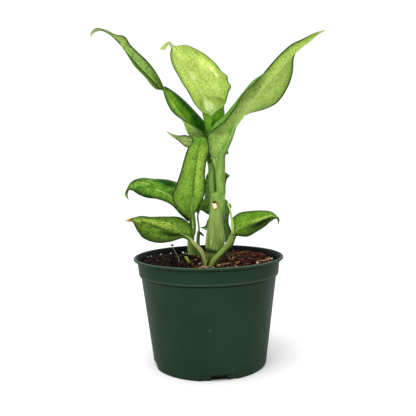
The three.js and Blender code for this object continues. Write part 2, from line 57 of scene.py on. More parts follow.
# Height of a painted highlight along the edge at the collar's foot
COLLAR_FOOT_HIGHLIGHT = 101.7
NOTCH_COUNT = 4
NOTCH_DEPTH = 14.0
NOTCH_WIDTH = 18.0
NOTCH_HEIGHT = 6.0
FIRST_NOTCH = math.radians(-81.5)
# Shallow recess round each notch: half its angle, its height and depth
RECESS = (math.radians(16.6), 6.4, 1.4)

# Mix
SOIL_LEVEL = 110.3
SOIL_RINGS = 74
SOIL_SECTORS = 220
# Loose bits lie within this radius
OPEN_RADIUS = 74

# Blades
BLADE_STEPS = 150
HALF_COLUMNS = 18
BLADE_THICKNESS = 0.75
MARGIN_THICKNESS = 0.4

# Stage: strength of the light from below and above and of the backdrop, then sizes and places in metres
SKY_LOW = 0.55
SKY_HIGH = 1.3
BACKDROP = 1.05
FLOOR_HALF = 6
KEY_PLACE = Vector((-0.35, -0.6, 1.3))
KEY_AIM = Vector((0, 0, 0.2))
KEY_SIZE = 0.9
KEY_POWER = 9
# Camera: the photograph's width and its focal length in pixels, place in metres, pitch and roll
PHOTO_PX = 416
FOCAL_PX = 538.8
CAMERA_PLACE = (0.00043, -0.5933, 0.214)
CAMERA_PITCH = 0.071
CAMERA_ROLL = -0.018


# Materials


def linear(colour):
    """Linear RGBA of a colour given as 0 to 255 display values."""
    channels = [c / 255 for c in colour]
    return [c / 12.92 if c <= 0.04045 else ((c + 0.055) / 1.055) ** 2.4 for c in channels] + [1]


def shade(colour, factor):
    """The colour with its display values scaled."""
    return tuple(min(255, c * factor) for c in colour)


class Tree:
    """Grows a node tree."""

    def __init__(self, tree):
        self.tree = tree

    def feed(self, socket, value):
        if isinstance(value, bpy.types.NodeSocket):
            self.tree.links.new(value, socket)
        else:
            socket.default_value = value

    def node(self, kind, inputs=None, **settings):
        """Outputs of a new node, after its settings and the values or links of its inputs."""
        node = self.tree.nodes.new("ShaderNode" + kind)
        for key, value in settings.items():
            setattr(node, key, value)
        for key, value in (inputs or {}).items():
            self.feed(node.inputs[key], value)
        return node.outputs


class Shader(Tree):
    """One material's node tree. The methods that add nodes give their output."""

    def __init__(self, name, roughness, specular=0.5):
        self.material = bpy.data.materials.new(name)
        self.material.use_nodes = True
        super().__init__(self.material.node_tree)
        self.surface = self.tree.nodes["Principled BSDF"].inputs
        self.surface["Roughness"].default_value = roughness
        self.surface["Specular IOR Level"].default_value = specular
        self.place = self.node("TexCoord")["Object"]

    def attribute(self, name):
        return self.node("Attribute", attribute_name=name)["Fac"]

    def stretch(self, vector, scale):
        return self.node("Mapping", {"Vector": vector, "Scale": scale})["Vector"]

    def grid(self, along=1):
        """The piece's own coordinates, in mm along and across it, with the first scaled."""
        return self.stretch(self.node("UVMap", uv_map="flat")["UV"], (along, 1, 1))

    def noise(self, scale, detail=3, vector=None, roughness=0.55, distortion=0):
        inputs = {"Vector": vector or self.place, "Scale": scale, "Detail": detail}
        return self.node("TexNoise", {**inputs, "Roughness": roughness, "Distortion": distortion})["Fac"]

    def dots(self, scale, share, vector):
        """Round dots, one to a cell of 1 / scale, in about that share of the cells."""
        cells = self.node("TexVoronoi", {"Vector": vector, "Scale": scale})
        chosen = self.math("LESS_THAN", cells["Color"], share)
        return self.times(self.ramp(cells["Distance"], 0.12, 0.36, 1, 0), chosen)

    def away_from(self, point):
        """Distance from a point given in mm, in mm."""
        ends = {0: self.place, 1: [c * MM for c in point]}
        return self.math("DIVIDE", self.node("VectorMath", ends, operation="DISTANCE")["Value"], MM)

    def height(self):
        """Height above the table, in mm."""
        return self.math("DIVIDE", self.node("SeparateXYZ", {0: self.place})["Z"], MM)

    def band(self, value, centre, half, soft):
        """1 within half of the centre, and 0 beyond half and soft."""
        return self.ramp(self.math("ABSOLUTE", self.minus(value, centre)), half, half + soft, 1, 0)

    def ramp(self, value, low, high, to_low=0, to_high=1):
        inputs = {"Value": value, "From Min": low, "From Max": high, "To Min": to_low, "To Max": to_high}
        return self.node("MapRange", inputs, interpolation_type="SMOOTHSTEP")["Result"]

    def math(self, operation, a, b=0.0):
        return self.node("Math", {0: a, 1: b}, operation=operation)[0]

    def plus(self, a, b):
        return self.math("ADD", a, b)

    def minus(self, a, b):
        return self.math("SUBTRACT", a, b)

    def times(self, a, b):
        return self.math("MULTIPLY", a, b)

    def swing(self, value, width):
        """How far a noise is from its mean, scaled."""
        return self.times(self.minus(value, 0.5), width)

    def mix(self, factor, a, b, kind="MIX"):
        """Two colours, each a socket or a colour, mixed."""
        a, b = [linear(c) if isinstance(c, tuple) else c for c in (a, b)]
        return self.node("Mix", {"Factor": factor, 6: a, 7: b}, data_type="RGBA", blend_type=kind)[2]

    def bump(self, height, distance, strength):
        inputs = {"Strength": strength, "Distance": distance * MM, "Height": height}
        return self.node("Bump", inputs)["Normal"]

    def finish(self, colour, normal=None, roughness=None):
        for name, socket in (("Base Color", colour), ("Normal", normal), ("Roughness", roughness)):
            if socket:
                self.feed(self.surface[name], socket)
        return self.material


def leaf_skin(name, leaf, face):
    """Skin of one face of a leaf: clouds, grain, specks, veins, rib, dark margin and pale tip."""
    foot, middle, end = leaf[face]
    dark = leaf.get("dark_tint", shade(middle, 0.42))
    s = Shader(f"{name}_{face}", 0.45, 0.04)
    flat = s.grid()
    clouds = s.noise(0.11, 3, flat, 0.6, 0.6)
    grain = s.noise(0.65, 3, flat, 0.7)
    across = s.attribute("across")
    along = s.attribute("along")
    cloudy = s.plus(along, s.swing(clouds, 0.35))
    inner = s.mix(s.ramp(cloudy, 0.08, 0.45), foot, middle)
    colour = s.mix(s.ramp(cloudy, 0.5, 0.92), inner, end)
    rim = s.plus(s.math("ABSOLUTE", across), s.swing(clouds, 0.5))
    colour = s.mix(s.ramp(rim, 0.5, 1.0, 0, leaf["rim"]), colour, dark)
    # Marks named deep and crease are painted shade
    for mark, (tint, _) in leaf["marks"].items():
        ragged = s.plus(s.attribute(mark), s.swing(grain, 0.7))
        colour = s.mix(s.ramp(ragged, 0.15, 0.9), colour, tint)
    gain = s.times(s.ramp(clouds, 0.36, 0.64, 1 - leaf["cloud"], 1 + leaf["cloud"]),
                   s.ramp(grain, 0.38, 0.62, 1 - leaf["grain"], 1 + leaf["grain"]))
    # Painted light and shade: the right half is darkened or lightened by its gain
    gain = s.times(gain, s.ramp(across, -0.1, 0.1, 1, leaf["right_" + face]))
    colour = s.mix(1.0, colour, gain, "MULTIPLY")
    vein = s.ramp(s.attribute("vein"), 0.8, 1.0)
    colour = s.mix(s.times(vein, 0.12), colour, dark)
    colour = s.mix(s.times(s.dots(0.34, leaf["specks"], s.grid(0.8)), 0.85), colour, dark)
    edge = s.minus(s.attribute("edge_mm"), s.times(s.noise(0.2, 2, flat), 0.7))
    margin = leaf["margin_mm"]
    fade = s.ramp(along, 0.8, 0.95, 1, 0)
    broad = s.ramp(edge, 0.2, 3.2 * margin, 0.35, 0)
    narrow = s.ramp(edge, 0.3 * margin, margin, 0.85, 0)
    colour = s.mix(s.times(broad, fade), colour, dark)
    colour = s.mix(s.times(narrow, fade), colour, leaf.get("margin_tint", MARGIN_TINTS[face]))
    rib = s.ramp(s.attribute("rib"), 0.15, 0.85, 0, leaf["rib_share"])
    colour = s.mix(rib, colour, leaf.get("rib_tint", shade(middle, 1.1)))
    tip_from = leaf["tip_from"]
    colour = s.mix(s.ramp(along, tip_from, tip_from + 0.06, 0, 0.85), colour, leaf["tip_tint"])
    height = s.minus(s.times(grain, 0.6), s.times(vein, 0.7))
    return s.finish(colour, s.bump(height, 0.3, 0.7), s.ramp(grain, 0.3, 0.7, 0.37, 0.53))


def stalk_skin(name, light, dark, shaded=0.75, foot=None, foot_reach=0.35):
    """Skin of a stalk or stem: lengthwise streaks, dark dots, painted shade on its dark side, and a foot of
    another tint, painted shade where one is given.
    """
    s = Shader(name, 0.45, 0.1)
    streaks = s.noise(0.75, 3, s.grid(0.05), 0.65)
    broad = s.noise(0.12, 2, s.grid(0.5))
    colour = s.mix(s.ramp(streaks, 0.35, 0.65, 0, 0.8), light, dark)
    colour = s.mix(s.ramp(broad, 0.4, 0.75, 0, 0.6), colour, dark)
    colour = s.mix(s.times(s.dots(0.5, 0.25, s.grid(0.6)), 0.5), colour, shade(dark, 0.6))
    # Painted shade over the foot, up to its reach along the stalk
    if foot:
        colour = s.mix(s.ramp(s.attribute("along"), 0.02, foot_reach, 0.85, 0), colour, foot)
    # Painted shade: darker on the side turned to the dark side
    colour = s.mix(s.ramp(s.attribute("turned"), 0.0, 0.8, 0, shaded), colour, shade(dark, 0.5))
    return s.finish(colour, s.bump(streaks, 0.25, 0.6))


def sheath_skin():
    """The main stem's sheath: fine ribs, pale streaks of painted highlight over its swelling, painted shade
    along its lower edge, and a painted highlight on its right side.
    """
    s = Shader("sheath", 0.45, 0.12)
    ribs = s.noise(0.9, 3, s.grid(0.04), 0.65)
    streaks = s.noise(0.3, 2, s.grid(0.1))
    rise = s.times(s.attribute("along"), SHEATH_LENGTH)
    colour = s.mix(s.ramp(ribs, 0.35, 0.65, 0, 0.8), (134, 162, 80), (94, 122, 46))
    colour = s.mix(s.ramp(s.noise(0.22, 2, s.grid(0.08)), 0.45, 0.6, 0, 0.55), colour, (72, 104, 36))
    # Painted highlight: pale streaks over the swelling
    pale = s.times(s.ramp(streaks, 0.52, 0.66), s.band(rise, 10, 5, 7))
    colour = s.mix(s.times(pale, 0.85), colour, (180, 198, 122))
    colour = s.mix(s.times(s.dots(0.35, 0.2, s.grid(0.5)), 0.5), colour, (70, 98, 34))
    turned_right = s.attribute("turned")
    # Painted shade along the lower edge, weaker on the right side
    ragged = s.plus(rise, s.swing(ribs, 6))
    shaded_lower_edge = s.times(s.ramp(ragged, 1, 5.5, 0.95, 0), s.ramp(turned_right, 0.2, 0.8, 1, 0.3))
    colour = s.mix(shaded_lower_edge, colour, (24, 44, 8))
    # Painted highlight: the side turned to the right is lighter
    colour = s.mix(s.ramp(turned_right, 0.3, 1.0, 0, 0.35), colour, (150, 178, 92))
    return s.finish(colour, s.bump(ribs, 0.3, 0.7))


def foot_skin():
    """The stem under its sheath: olive, with a ring of small brown dots, and painted shade at its top under
    the sheath.
    """
    s = Shader("stem_foot", 0.55, 0.12)
    height = s.height()
    cloud = s.noise(260, 4, roughness=0.65)
    colour = s.mix(s.ramp(cloud, 0.35, 0.65), (68, 82, 22), (108, 123, 50))
    dots = s.times(s.dots(0.55 / MM, 0.5, s.place), s.band(height, 123, 1.6, 0.8))
    colour = s.mix(dots, colour, (92, 58, 22))
    # Painted shade: darker towards the top, under the sheath's edge
    colour = s.mix(s.ramp(height, 124.5, 127, 0, 0.9), colour, (20, 36, 6))
    return s.finish(colour, s.bump(cloud, 0.4, 0.7))


def pot_skin(name, low, high):
    """Dark moulded plastic: faint cloud, pale scuffs, fine grain, painted highlights on the lip and at the
    collar's foot, painted shade in the creases.
    """
    s = Shader(name, 0.5, 0.04)
    cloud = s.noise(18, 3)
    colour = s.mix(s.ramp(cloud, 0.3, 0.8), low, high)
    scuff = s.noise(90, 4, s.stretch(s.place, (1, 1, 0.5)), 0.75)
    colour = s.mix(s.ramp(scuff, 0.66, 0.76, 0, 0.25), colour, (96, 104, 92))
    colour = s.mix(s.times(s.dots(0.09 / MM, 0.14, s.place), 0.4), colour, (110, 116, 102))
    height = s.height()
    # Painted shade: dark bands in the creases under the lip and at the collar's foot
    for crease, half, share in POT_SHADED_CREASES:
        colour = s.mix(s.times(s.band(height, crease, half, 0.7), share), colour, (10, 18, 14))
    # Painted highlight: a lighter line along the edge at the collar's foot
    colour = s.mix(s.times(s.band(height, COLLAR_FOOT_HIGHLIGHT, 0.3, 0.6), 0.5), colour, (66, 86, 70))
    # Painted highlight: the top of the lip is lighter
    colour = s.mix(s.ramp(height, POT_HEIGHT - 1.0, POT_HEIGHT - 0.1, 0, 0.6), colour, (92, 112, 94))
    return s.finish(colour, s.bump(s.noise(900, 2), 0.06, 0.4), s.ramp(cloud, 0.3, 0.7, 0.44, 0.56))


def scar_skin():
    """Dried cut: ragged pale middle, brown rim, green flesh outside, and the dark mouth of a hole, painted as
    shade on the flat cut.
    """
    s = Shader("scar", 0.7, 0.2)
    wander = s.swing(s.noise(450, 4, roughness=0.7), 5)
    middle = s.plus(s.away_from(SCAR_MIDDLE), wander)
    colour = s.mix(s.ramp(middle, 3.2, 3.9), (232, 214, 178), (128, 76, 36))
    colour = s.mix(s.ramp(middle, 5.0, 5.8), colour, (100, 126, 58))
    # Painted shade: the hole is not cut, its dark mouth is painted on the cut face
    mouth = s.plus(s.away_from(SCAR_HOLE), s.times(wander, 0.2))
    colour = s.mix(s.ramp(mouth, 1.3, 2.0, 1, 0), colour, (26, 44, 12))
    return s.finish(colour, s.bump(s.noise(700, 3), 0.5, 0.8))


def speckled(name, dark, light, scale, bump, roughness=0.85, level=(0.35, 0.7)):
    """Crumbly or fibrous stuff in two tints. Each bit's own tone shifts it between them."""
    s = Shader(name, roughness, 0.15)
    tint = s.noise(scale, 5, roughness=0.65)
    colour = s.mix(s.ramp(s.plus(tint, s.times(s.attribute("tone"), 0.55)), *level), dark, light)
    return s.finish(colour, s.bump(tint, bump, 0.9))


# Meshes


def add_piece(name, vertices, faces, materials, node=None, material_of=None, smooth=True):
    """Object from vertices in mm. It rides on the part and, if a node is named, stands for it."""
    mesh = bpy.data.meshes.new(name)
    mesh.from_pydata((np.asarray(vertices, float) * MM).tolist(), [], faces)
    for material in materials:
        mesh.materials.append(material)
    if material_of is not None:
        mesh.polygons.foreach_set("material_index", np.asarray(material_of, int))
    mesh.polygons.foreach_set("use_smooth", [smooth] * len(mesh.polygons))
    mesh.validate()
    mesh.update()
    piece = bpy.data.objects.new(name, mesh)
    bpy.context.scene.collection.objects.link(piece)
    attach(piece, "root")
    if node:
        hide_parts(node)
    return piece


def set_attribute(piece, name, values):
    layer = piece.data.attributes.new(name, "FLOAT", "POINT")
    layer.data.foreach_set("value", np.asarray(values, np.float32))


def set_flat(piece, flat):
    """UV map from one pair per vertex."""
    mesh = piece.data
    layer = mesh.uv_layers.new(name="flat")
    corner = np.empty(len(mesh.loops), int)
    mesh.loops.foreach_get("vertex_index", corner)
    layer.data.foreach_set("uv", np.asarray(flat, np.float32)[corner].ravel())


def circle(radius, sides, offset=0.0):
    """Points of a circle round the axis, turned by the offset's share of a side."""
    turns = [FULL_TURN * (k + offset) / sides for k in range(sides)]
    return [(radius * math.cos(turn), radius * math.sin(turn)) for turn in turns]


def rings(start, count, sides):
    """Vertex numbers of that many closed rings. Each ring ends with its first number."""
    return [[start + i * sides + k % sides for k in range(sides + 1)] for i in range(count)]


def skin_over(rows, flip=False):
    """Faces between the neighbours in rows of vertex numbers. Corners that coincide count once."""
    faces = []
    for low, high in zip(rows, rows[1:]):
        for corners in zip(low, low[1:], high[1:], high):
            faces.append(list(dict.fromkeys(corners[::-1] if flip else corners)))
    return faces


def line_through(points, t):
    """Centripetal Catmull-Rom line with point i at t = i / (n - 1), as in the part's source."""
    p = np.asarray(points, float)
    ends = np.vstack([2 * p[0] - p[1], p, 2 * p[-1] - p[-2]])
    x = np.clip(np.asarray(t) * (len(p) - 1), 0, len(p) - 1)
    i = np.minimum(x.astype(int), len(p) - 2)
    w = (x - i)[:, None]
    a, b, c, d = ends[i], ends[i + 1], ends[i + 2], ends[i + 3]
    d0, d1, d2 = [np.linalg.norm(r - q, axis=1)[:, None] ** 0.5 for q, r in ((a, b), (b, c), (c, d))]
    d1 = np.where(d1 < 1e-4, 1.0, d1)
    d0 = np.where(d0 < 1e-4, d1, d0)
    d2 = np.where(d2 < 1e-4, d1, d2)
    m1 = ((b - a) / d0 - (c - a) / (d0 + d1) + (c - b) / d1) * d1
    m2 = ((c - b) / d1 - (d - b) / (d1 + d2) + (d - c) / d2) * d1
    return b + m1 * w + (-3 * b + 3 * c - 2 * m1 - m2) * w**2 + (2 * b - 2 * c + m1 + m2) * w**3


def run_along(line):
    """Distance along a line from its first point to each point."""
    return np.concatenate([[0], np.cumsum(np.linalg.norm(np.diff(line, axis=0), axis=1))])


def unit(v):
    return v / np.maximum(np.linalg.norm(v, axis=-1, keepdims=True), 1e-9)


def bell(x):
    return np.exp(-(x**2))


# Blades and stalks


def raised_middle(mid, edge, along, bow):
    up = unit(np.cross(along, edge - mid))
    return (mid + edge) / 2 + up * bow * np.linalg.norm(edge - mid)


def blade_grid(leaf):
    """Middle surface of a blade: rows from its foot to its tip, columns from left to right edge."""
    lines = {"mid": [], "left": [], "right": [], "left_middle": [], "right_middle": []}
    tip = np.array(leaf["tip"], float)
    mids = [np.array(row[0], float) for row in leaf["stations"]] + [tip]
    for i, row in enumerate(leaf["stations"]):
        mid, left, right = [np.array(p, float) for p in row[:3]]
        left_middle, right_middle = [*row[3:], None, None][:2]
        along = unit(mids[i + 1] - mids[max(i - 1, 0)])
        lines["mid"].append(mid)
        lines["left"].append(left)
        lines["right"].append(right)
        lines["left_middle"].append(left_middle or raised_middle(mid, left, along, leaf["bow"]))
        lines["right_middle"].append(right_middle or raised_middle(mid, right, along, -leaf["bow"]))
    t = np.linspace(0, 1, BLADE_STEPS + 1)
    curve = {name: line_through(points + [tip], t) for name, points in lines.items()}
    columns = []
    for k in range(-HALF_COLUMNS, HALF_COLUMNS + 1):
        side = "left" if k < 0 else "right"
        s = abs(k) / HALF_COLUMNS
        columns.append(
            (1 - s) * (1 - 2 * s) * curve["mid"]
            + 4 * s * (1 - s) * curve[side + "_middle"]
            + s * (2 * s - 1) * curve[side]
        )
    return np.stack(columns, axis=1)


def blade_faces():
    """Faces of a blade's upper side, under side and rim, and which of its two skins each takes."""
    columns = 2 * HALF_COLUMNS + 1
    numbers = np.arange(BLADE_STEPS * columns).reshape(BLADE_STEPS, columns)
    tip = np.full((1, columns), 2 * numbers.size)
    upper = np.vstack([numbers, tip]).tolist()
    under = np.vstack([numbers + numbers.size, tip]).tolist()
    rims = []
    for rows in (upper, under):
        left, right = [row[0] for row in rows], [row[-1] for row in rows]
        rims.append(left + right[-2::-1] + rows[0][-2::-1])
    faces = skin_over(upper) + skin_over(under, flip=True) + skin_over(rims)
    side = BLADE_STEPS * (columns - 1)
    return faces, [0] * side + [1] * side + [0] * 2 * BLADE_STEPS + [1] * (columns - 1)


def on_all(values):
    """Values of a blade's rows and columns, given to its upper side, its under side and its tip."""
    values = np.broadcast_to(values, (BLADE_STEPS + 1, 2 * HALF_COLUMNS + 1))
    body = values[:-1].ravel()
    return np.concatenate([body, body, values[-1, HALF_COLUMNS:HALF_COLUMNS + 1]])


def add_blade(name, leaf, skins):
    """Blade with two skins: thin, thinner at its margin, with a rib under its middle."""
    half = HALF_COLUMNS
    grid = blade_grid(leaf)
    across = np.linspace(-1, 1, 2 * half + 1)[None]
    along = np.linspace(0, 1, BLADE_STEPS + 1)[:, None]
    long = run_along(grid[:, half])[:, None]
    share = long / long[-1]
    hops = np.linalg.norm(np.diff(grid, axis=1), axis=2)
    reach = np.zeros(grid.shape[:2])
    reach[:, half + 1:] = np.cumsum(hops[:, half:], axis=1)
    reach[:, :half] = np.cumsum(hops[:, half - 1::-1], axis=1)[:, ::-1]
    edge = np.minimum(np.where(across < 0, reach[:, :1], reach[:, -1:]) - reach, long[-1] - long + 0.3)
    normal = np.cross(np.gradient(grid, axis=1), np.gradient(grid, axis=0))
    normal[-1] = normal[-2]
    normal = unit(normal)
    vein = 0.5 + 0.5 * np.cos(FULL_TURN * (long - 0.75 * reach) / leaf["vein_gap"])
    pillow = 0.16 * (1 - vein) * np.clip((edge - 0.5) / 3, 0, 1) * np.clip(reach / 3, 0, 1)
    thick = MARGIN_THICKNESS + (BLADE_THICKNESS - MARGIN_THICKNESS) * np.clip(edge / 3, 0, 1)
    thick = thick * (1 - 0.35 * share)
    rib = bell(reach / (leaf["rib_width"] * (1 - share) ** 0.7 + 0.35))
    rib_depth = leaf["rib_depth"] * (1 - share) ** 1.2 + 0.08
    groove = 0.45 * rib * (1 - share)
    upper = grid + normal * (thick / 2 + pillow - groove)[..., None]
    under = grid - normal * (thick / 2 - 0.6 * pillow + rib_depth * rib)[..., None]
    vertices = np.vstack([upper[:-1].reshape(-1, 3), under[:-1].reshape(-1, 3), grid[-1, half]])
    faces, skin_of = blade_faces()
    piece = add_piece(name + "_blade", vertices, faces, skins, name, skin_of)
    values = {"across": across, "along": along, "edge_mm": edge, "vein": vein}
    values["rib"] = bell(reach / (0.55 * leaf["rib_mark"] * (1.15 - share)))
    for mark, (_, places) in leaf["marks"].items():
        spots = [bell((along - u) / width) * bell((across - a) / spread) for u, a, width, spread in places]
        values[mark] = np.max(spots, axis=0)
    for key, value in values.items():
        set_attribute(piece, key, on_all(value))
    set_flat(piece, np.stack([on_all(long), on_all(np.sign(across) * reach)], 1) + leaf["seed"])


def tube_mesh(rows, sides, steps_each=10, bulge=0.6):
    """Vertices, faces, and run along and turn round of a stalk through rows of x, y, z, radius."""
    rows = np.asarray(rows, float)
    t = np.linspace(0, 1, (len(rows) - 1) * steps_each + 1)
    centre = line_through(rows[:, :3], t)
    radius = line_through(np.column_stack([rows[:, 3], np.zeros((len(rows), 2))]), t)[:, 0]
    tangent = unit(np.gradient(centre, axis=0))
    side = unit(np.cross(np.broadcast_to([0.0, -1.0, 0.0], tangent.shape), tangent))
    front = np.cross(tangent, side)
    turn = np.linspace(0, FULL_TURN, sides, endpoint=False)
    ring = np.cos(turn)[None, :, None] * side[:, None] + np.sin(turn)[None, :, None] * front[:, None]
    body = (centre[:, None] + ring * radius[:, None, None]).reshape(-1, 3)
    vertices = np.vstack([body, centre[0], centre[-1] + tangent[-1] * radius[-1] * bulge])
    foot, head = [len(body)] * (sides + 1), [len(body) + 1] * (sides + 1)
    faces = skin_over([foot, *rings(0, len(t), sides), head])
    run = run_along(centre)
    flat = np.stack([np.repeat(run, sides), np.tile(turn * radius.mean(), len(t))], 1)
    return vertices, faces, np.vstack([flat, [[run[0], 0], [run[-1], 0]]])


def add_stalk(name, rows, skin, node, dark_side=(0, 0, -1), sides=28):
    """Stalk with its run along it, and how far each point is turned to its dark side, for its skin's painted
    light and shade.
    """
    vertices, faces, flat = tube_mesh(rows, sides)
    piece = add_piece(name, vertices, faces, [skin], node)
    set_flat(piece, flat)
    set_attribute(piece, "along", (flat[:, 0] - flat[0, 0]) / np.ptp(flat[:, 0]))
    rounds = vertices[:-2].reshape(-1, sides, 3)
    outward = unit(rounds - rounds.mean(axis=1, keepdims=True)).reshape(-1, 3)
    set_attribute(piece, "turned", np.append(outward @ unit(np.array(dark_side, float)), [0, 0]))
    return piece


def add_streaked(name, node, rows, light, dark, slot="stem", dark_side=(0, 0, -1), sides=28, **look):
    """Stalk or scrap with a streaked skin of its own."""
    add_stalk(name, rows, stalk_skin(name, light, dark, **look), node, dark_side, sides)


def cut_block(piece, size, place, skin):
    """Cuts a block of that size in mm, moved to its place, out of a piece. The cut takes the skin."""
    shape = bmesh.new()
    bmesh.ops.create_cube(shape, size=1)
    scale = Matrix.Diagonal((*[side * MM for side in size], 1))
    bmesh.ops.transform(shape, matrix=place @ scale, verts=shape.verts)
    mesh = bpy.data.meshes.new("block")
    shape.to_mesh(mesh)
    shape.free()
    mesh.materials.append(skin)
    block = bpy.data.objects.new("block", mesh)
    bpy.context.scene.collection.objects.link(block)
    cut = piece.modifiers.new("cut", "BOOLEAN")
    cut.operation = "DIFFERENCE"
    cut.solver = "EXACT"
    cut.material_mode = "TRANSFER"
    cut.object = block
    bpy.context.view_layer.update()
    graph = bpy.context.evaluated_depsgraph_get()
    done = bpy.data.meshes.new_from_object(piece.evaluated_get(graph))
    piece.modifiers.clear()
    piece.data = done
    bpy.data.objects.remove(block)


# Pot


def wall_at(z):
    """Radius and height of the outer wall at a height."""
    share = (z - 1) / (BODY_TOP[1] - 1)
    return BASE_RADIUS + (BODY_TOP[0] - BASE_RADIUS) * share, z


def press_recess(pot, middle):
    """Sets the wall's foot back on both sides of a notch."""
    half_angle, top, depth = RECESS
    for vertex in pot.data.vertices:
        x, y, z = vertex.co / MM
        reach = math.hypot(x, y)
        off = (math.atan2(y, x) - middle + math.pi) % FULL_TURN - math.pi
        if abs(off) < half_angle and z < top and reach > BASE_RADIUS - WALL + 0.4:
            vertex.co *= Vector((1 - depth / reach, 1 - depth / reach, 1))


def add_pot():
    """Surface of revolution through (radius, height) points, with notches cut in its bottom edge."""
    outside = [
        (BASE_RADIUS - 1.2, 0), (BASE_RADIUS - 0.5, 0.25), (BASE_RADIUS, 1),
        wall_at(RECESS[1] - 0.2), wall_at(RECESS[1] + 0.2), BODY_TOP,
        (BODY_TOP[0] + 0.3, 99.6), (BODY_TOP[0] + 1.9, 100.1), (COLLAR_FOOT[0] - 0.1, 100.9),
        COLLAR_FOOT, COLLAR_TOP, (LIP_RADIUS - 2.6, POT_HEIGHT - 3.1), (LIP_RADIUS - 0.8, POT_HEIGHT - 2.9),
        (LIP_RADIUS, POT_HEIGHT - 2), (LIP_RADIUS - 0.1, POT_HEIGHT - 1),
        (LIP_RADIUS - 0.6, POT_HEIGHT - 0.3), (LIP_RADIUS - 1.3, POT_HEIGHT),
    ]
    inside = [
        (LIP_RADIUS - 2.2, POT_HEIGHT - 0.1), (LIP_RADIUS - 2.7, POT_HEIGHT - 0.5),
        (COLLAR_TOP[0] - 0.4, POT_HEIGHT - 2), (COLLAR_TOP[0] - WALL, COLLAR_TOP[1] - 1.5),
        (COLLAR_FOOT[0] - WALL, COLLAR_FOOT[1]), (BODY_TOP[0] - WALL, BODY_TOP[1] - 0.6),
        (BASE_RADIUS - WALL + 0.3, BASE_THICKNESS),
    ]
    profile = outside + inside
    points = [(x, y, z) for radius, z in profile for x, y in circle(radius, POT_SIDES)]
    vertices = [(0, 0, 0), *points, (0, 0, BASE_THICKNESS)]
    low, high = [0] * (POT_SIDES + 1), [len(points) + 1] * (POT_SIDES + 1)
    faces = skin_over([low, *rings(1, len(profile), POT_SIDES), high])
    bands = np.arange(len(profile) + 1) > len(outside)
    # The inside and the notches' cut faces take a darker copy of the plastic: painted shade
    skins = [
        pot_skin("pot_plastic", (28, 49, 34), (34, 56, 40)),
        pot_skin("pot_inside_shaded", (5, 11, 7), (9, 18, 12)),
    ]
    pot = add_piece("pot_shell", vertices, faces, skins, "pot", np.repeat(bands, POT_SIDES))
    for i in range(NOTCH_COUNT):
        turn = FIRST_NOTCH + FULL_TURN * i / NOTCH_COUNT
        press_recess(pot, turn)
        place = Matrix.Rotation(turn, 4, "Z") @ Matrix.Translation(((BASE_RADIUS + 1) * MM, 0, 0))
        cut_block(pot, (NOTCH_DEPTH, NOTCH_WIDTH, 2 * NOTCH_HEIGHT), place, skins[1])
    for polygon in pot.data.polygons:
        polygon.use_smooth = True
    pot.data.set_sharp_from_angle(angle=math.radians(40))


# Potting mix


def heap(x, y, middle_x, middle_y, rise, spread):
    return rise * math.exp(-((x - middle_x) ** 2 + (y - middle_y) ** 2) / spread**2)


def soil_height(x, y):
    """Height of the mix as in the part's source, before its crumbs."""
    swell = 0.7 * math.sin(0.31 * x + 0.8) * math.sin(0.27 * y + 0.3)
    crumbs = 0.45 * math.sin(0.73 * x - 0.52 * y)
    return SOIL_LEVEL + sum(heap(x, y, *form) for form in HEAPS) + swell + crumbs


def rough_height(x, y):
    point = Vector((x, y, 0))
    lumps = noise.fractal(point * 0.16, 0.8, 2.1, 3, noise_basis="PERLIN_ORIGINAL")
    crumb = abs(noise.noise(point * 0.75 + Vector((9, 4, 2))))
    return soil_height(x, y) + 1.3 * lumps + 1.1 * crumb - 0.5


def add_soil(skin):
    """The mix: rough from the middle to the wall, then plain down the wall to the pot's floor."""
    radius = COLLAR_TOP[0] - WALL - 1.4
    vertices = [(0, 0, rough_height(0, 0))]
    for i in range(1, SOIL_RINGS + 1):
        for x, y in circle(radius * i / SOIL_RINGS, SOIL_SECTORS, 0.5 * (i % 2)):
            vertices.append((x, y, rough_height(x, y)))
    lows = [
        (COLLAR_FOOT[0] - WALL - 0.6, COLLAR_FOOT[1]), (BODY_TOP[0] - WALL - 0.8, BODY_TOP[1]),
        (BASE_RADIUS - WALL - 0.4, BASE_THICKNESS + 0.3),
    ]
    vertices += [(x, y, z) for low, z in lows for x, y in circle(low, SOIL_SECTORS)]
    middle = [0] * (SOIL_SECTORS + 1)
    faces = skin_over([middle, *rings(1, SOIL_RINGS + len(lows), SOIL_SECTORS)], flip=True)
    faces.append(list(range(len(vertices) - 1, len(vertices) - 1 - SOIL_SECTORS, -1)))
    add_piece("soil", vertices, faces, [skin], "potting_mix")


def crumb_shape(kind, chance):
    """Vertices and faces of one bit of the mix, about 1 mm across."""
    shape = bmesh.new()
    if kind == "flake":
        bmesh.ops.create_cube(shape, size=1)
        bmesh.ops.subdivide_edges(shape, edges=shape.edges, cuts=1, use_grid_fill=True)
        for v in shape.verts:
            v.co += Vector([chance.uniform(-0.13, 0.13) for _ in range(3)])
            v.co.z += 0.5 * v.co.x**2
    else:
        bmesh.ops.create_icosphere(shape, subdivisions=2 if kind == "pearl" else 1, radius=0.5)
        shift = Vector([chance.uniform(0, 50) for _ in range(3)])
        for v in shape.verts:
            v.co *= 1 + 0.5 * noise.noise(v.co * 2.5 + shift)
    shape.verts.ensure_lookup_table()
    vertices = np.array([v.co[:] for v in shape.verts])
    faces = [[v.index for v in f.verts] for f in shape.faces]
    shape.free()
    return vertices, faces


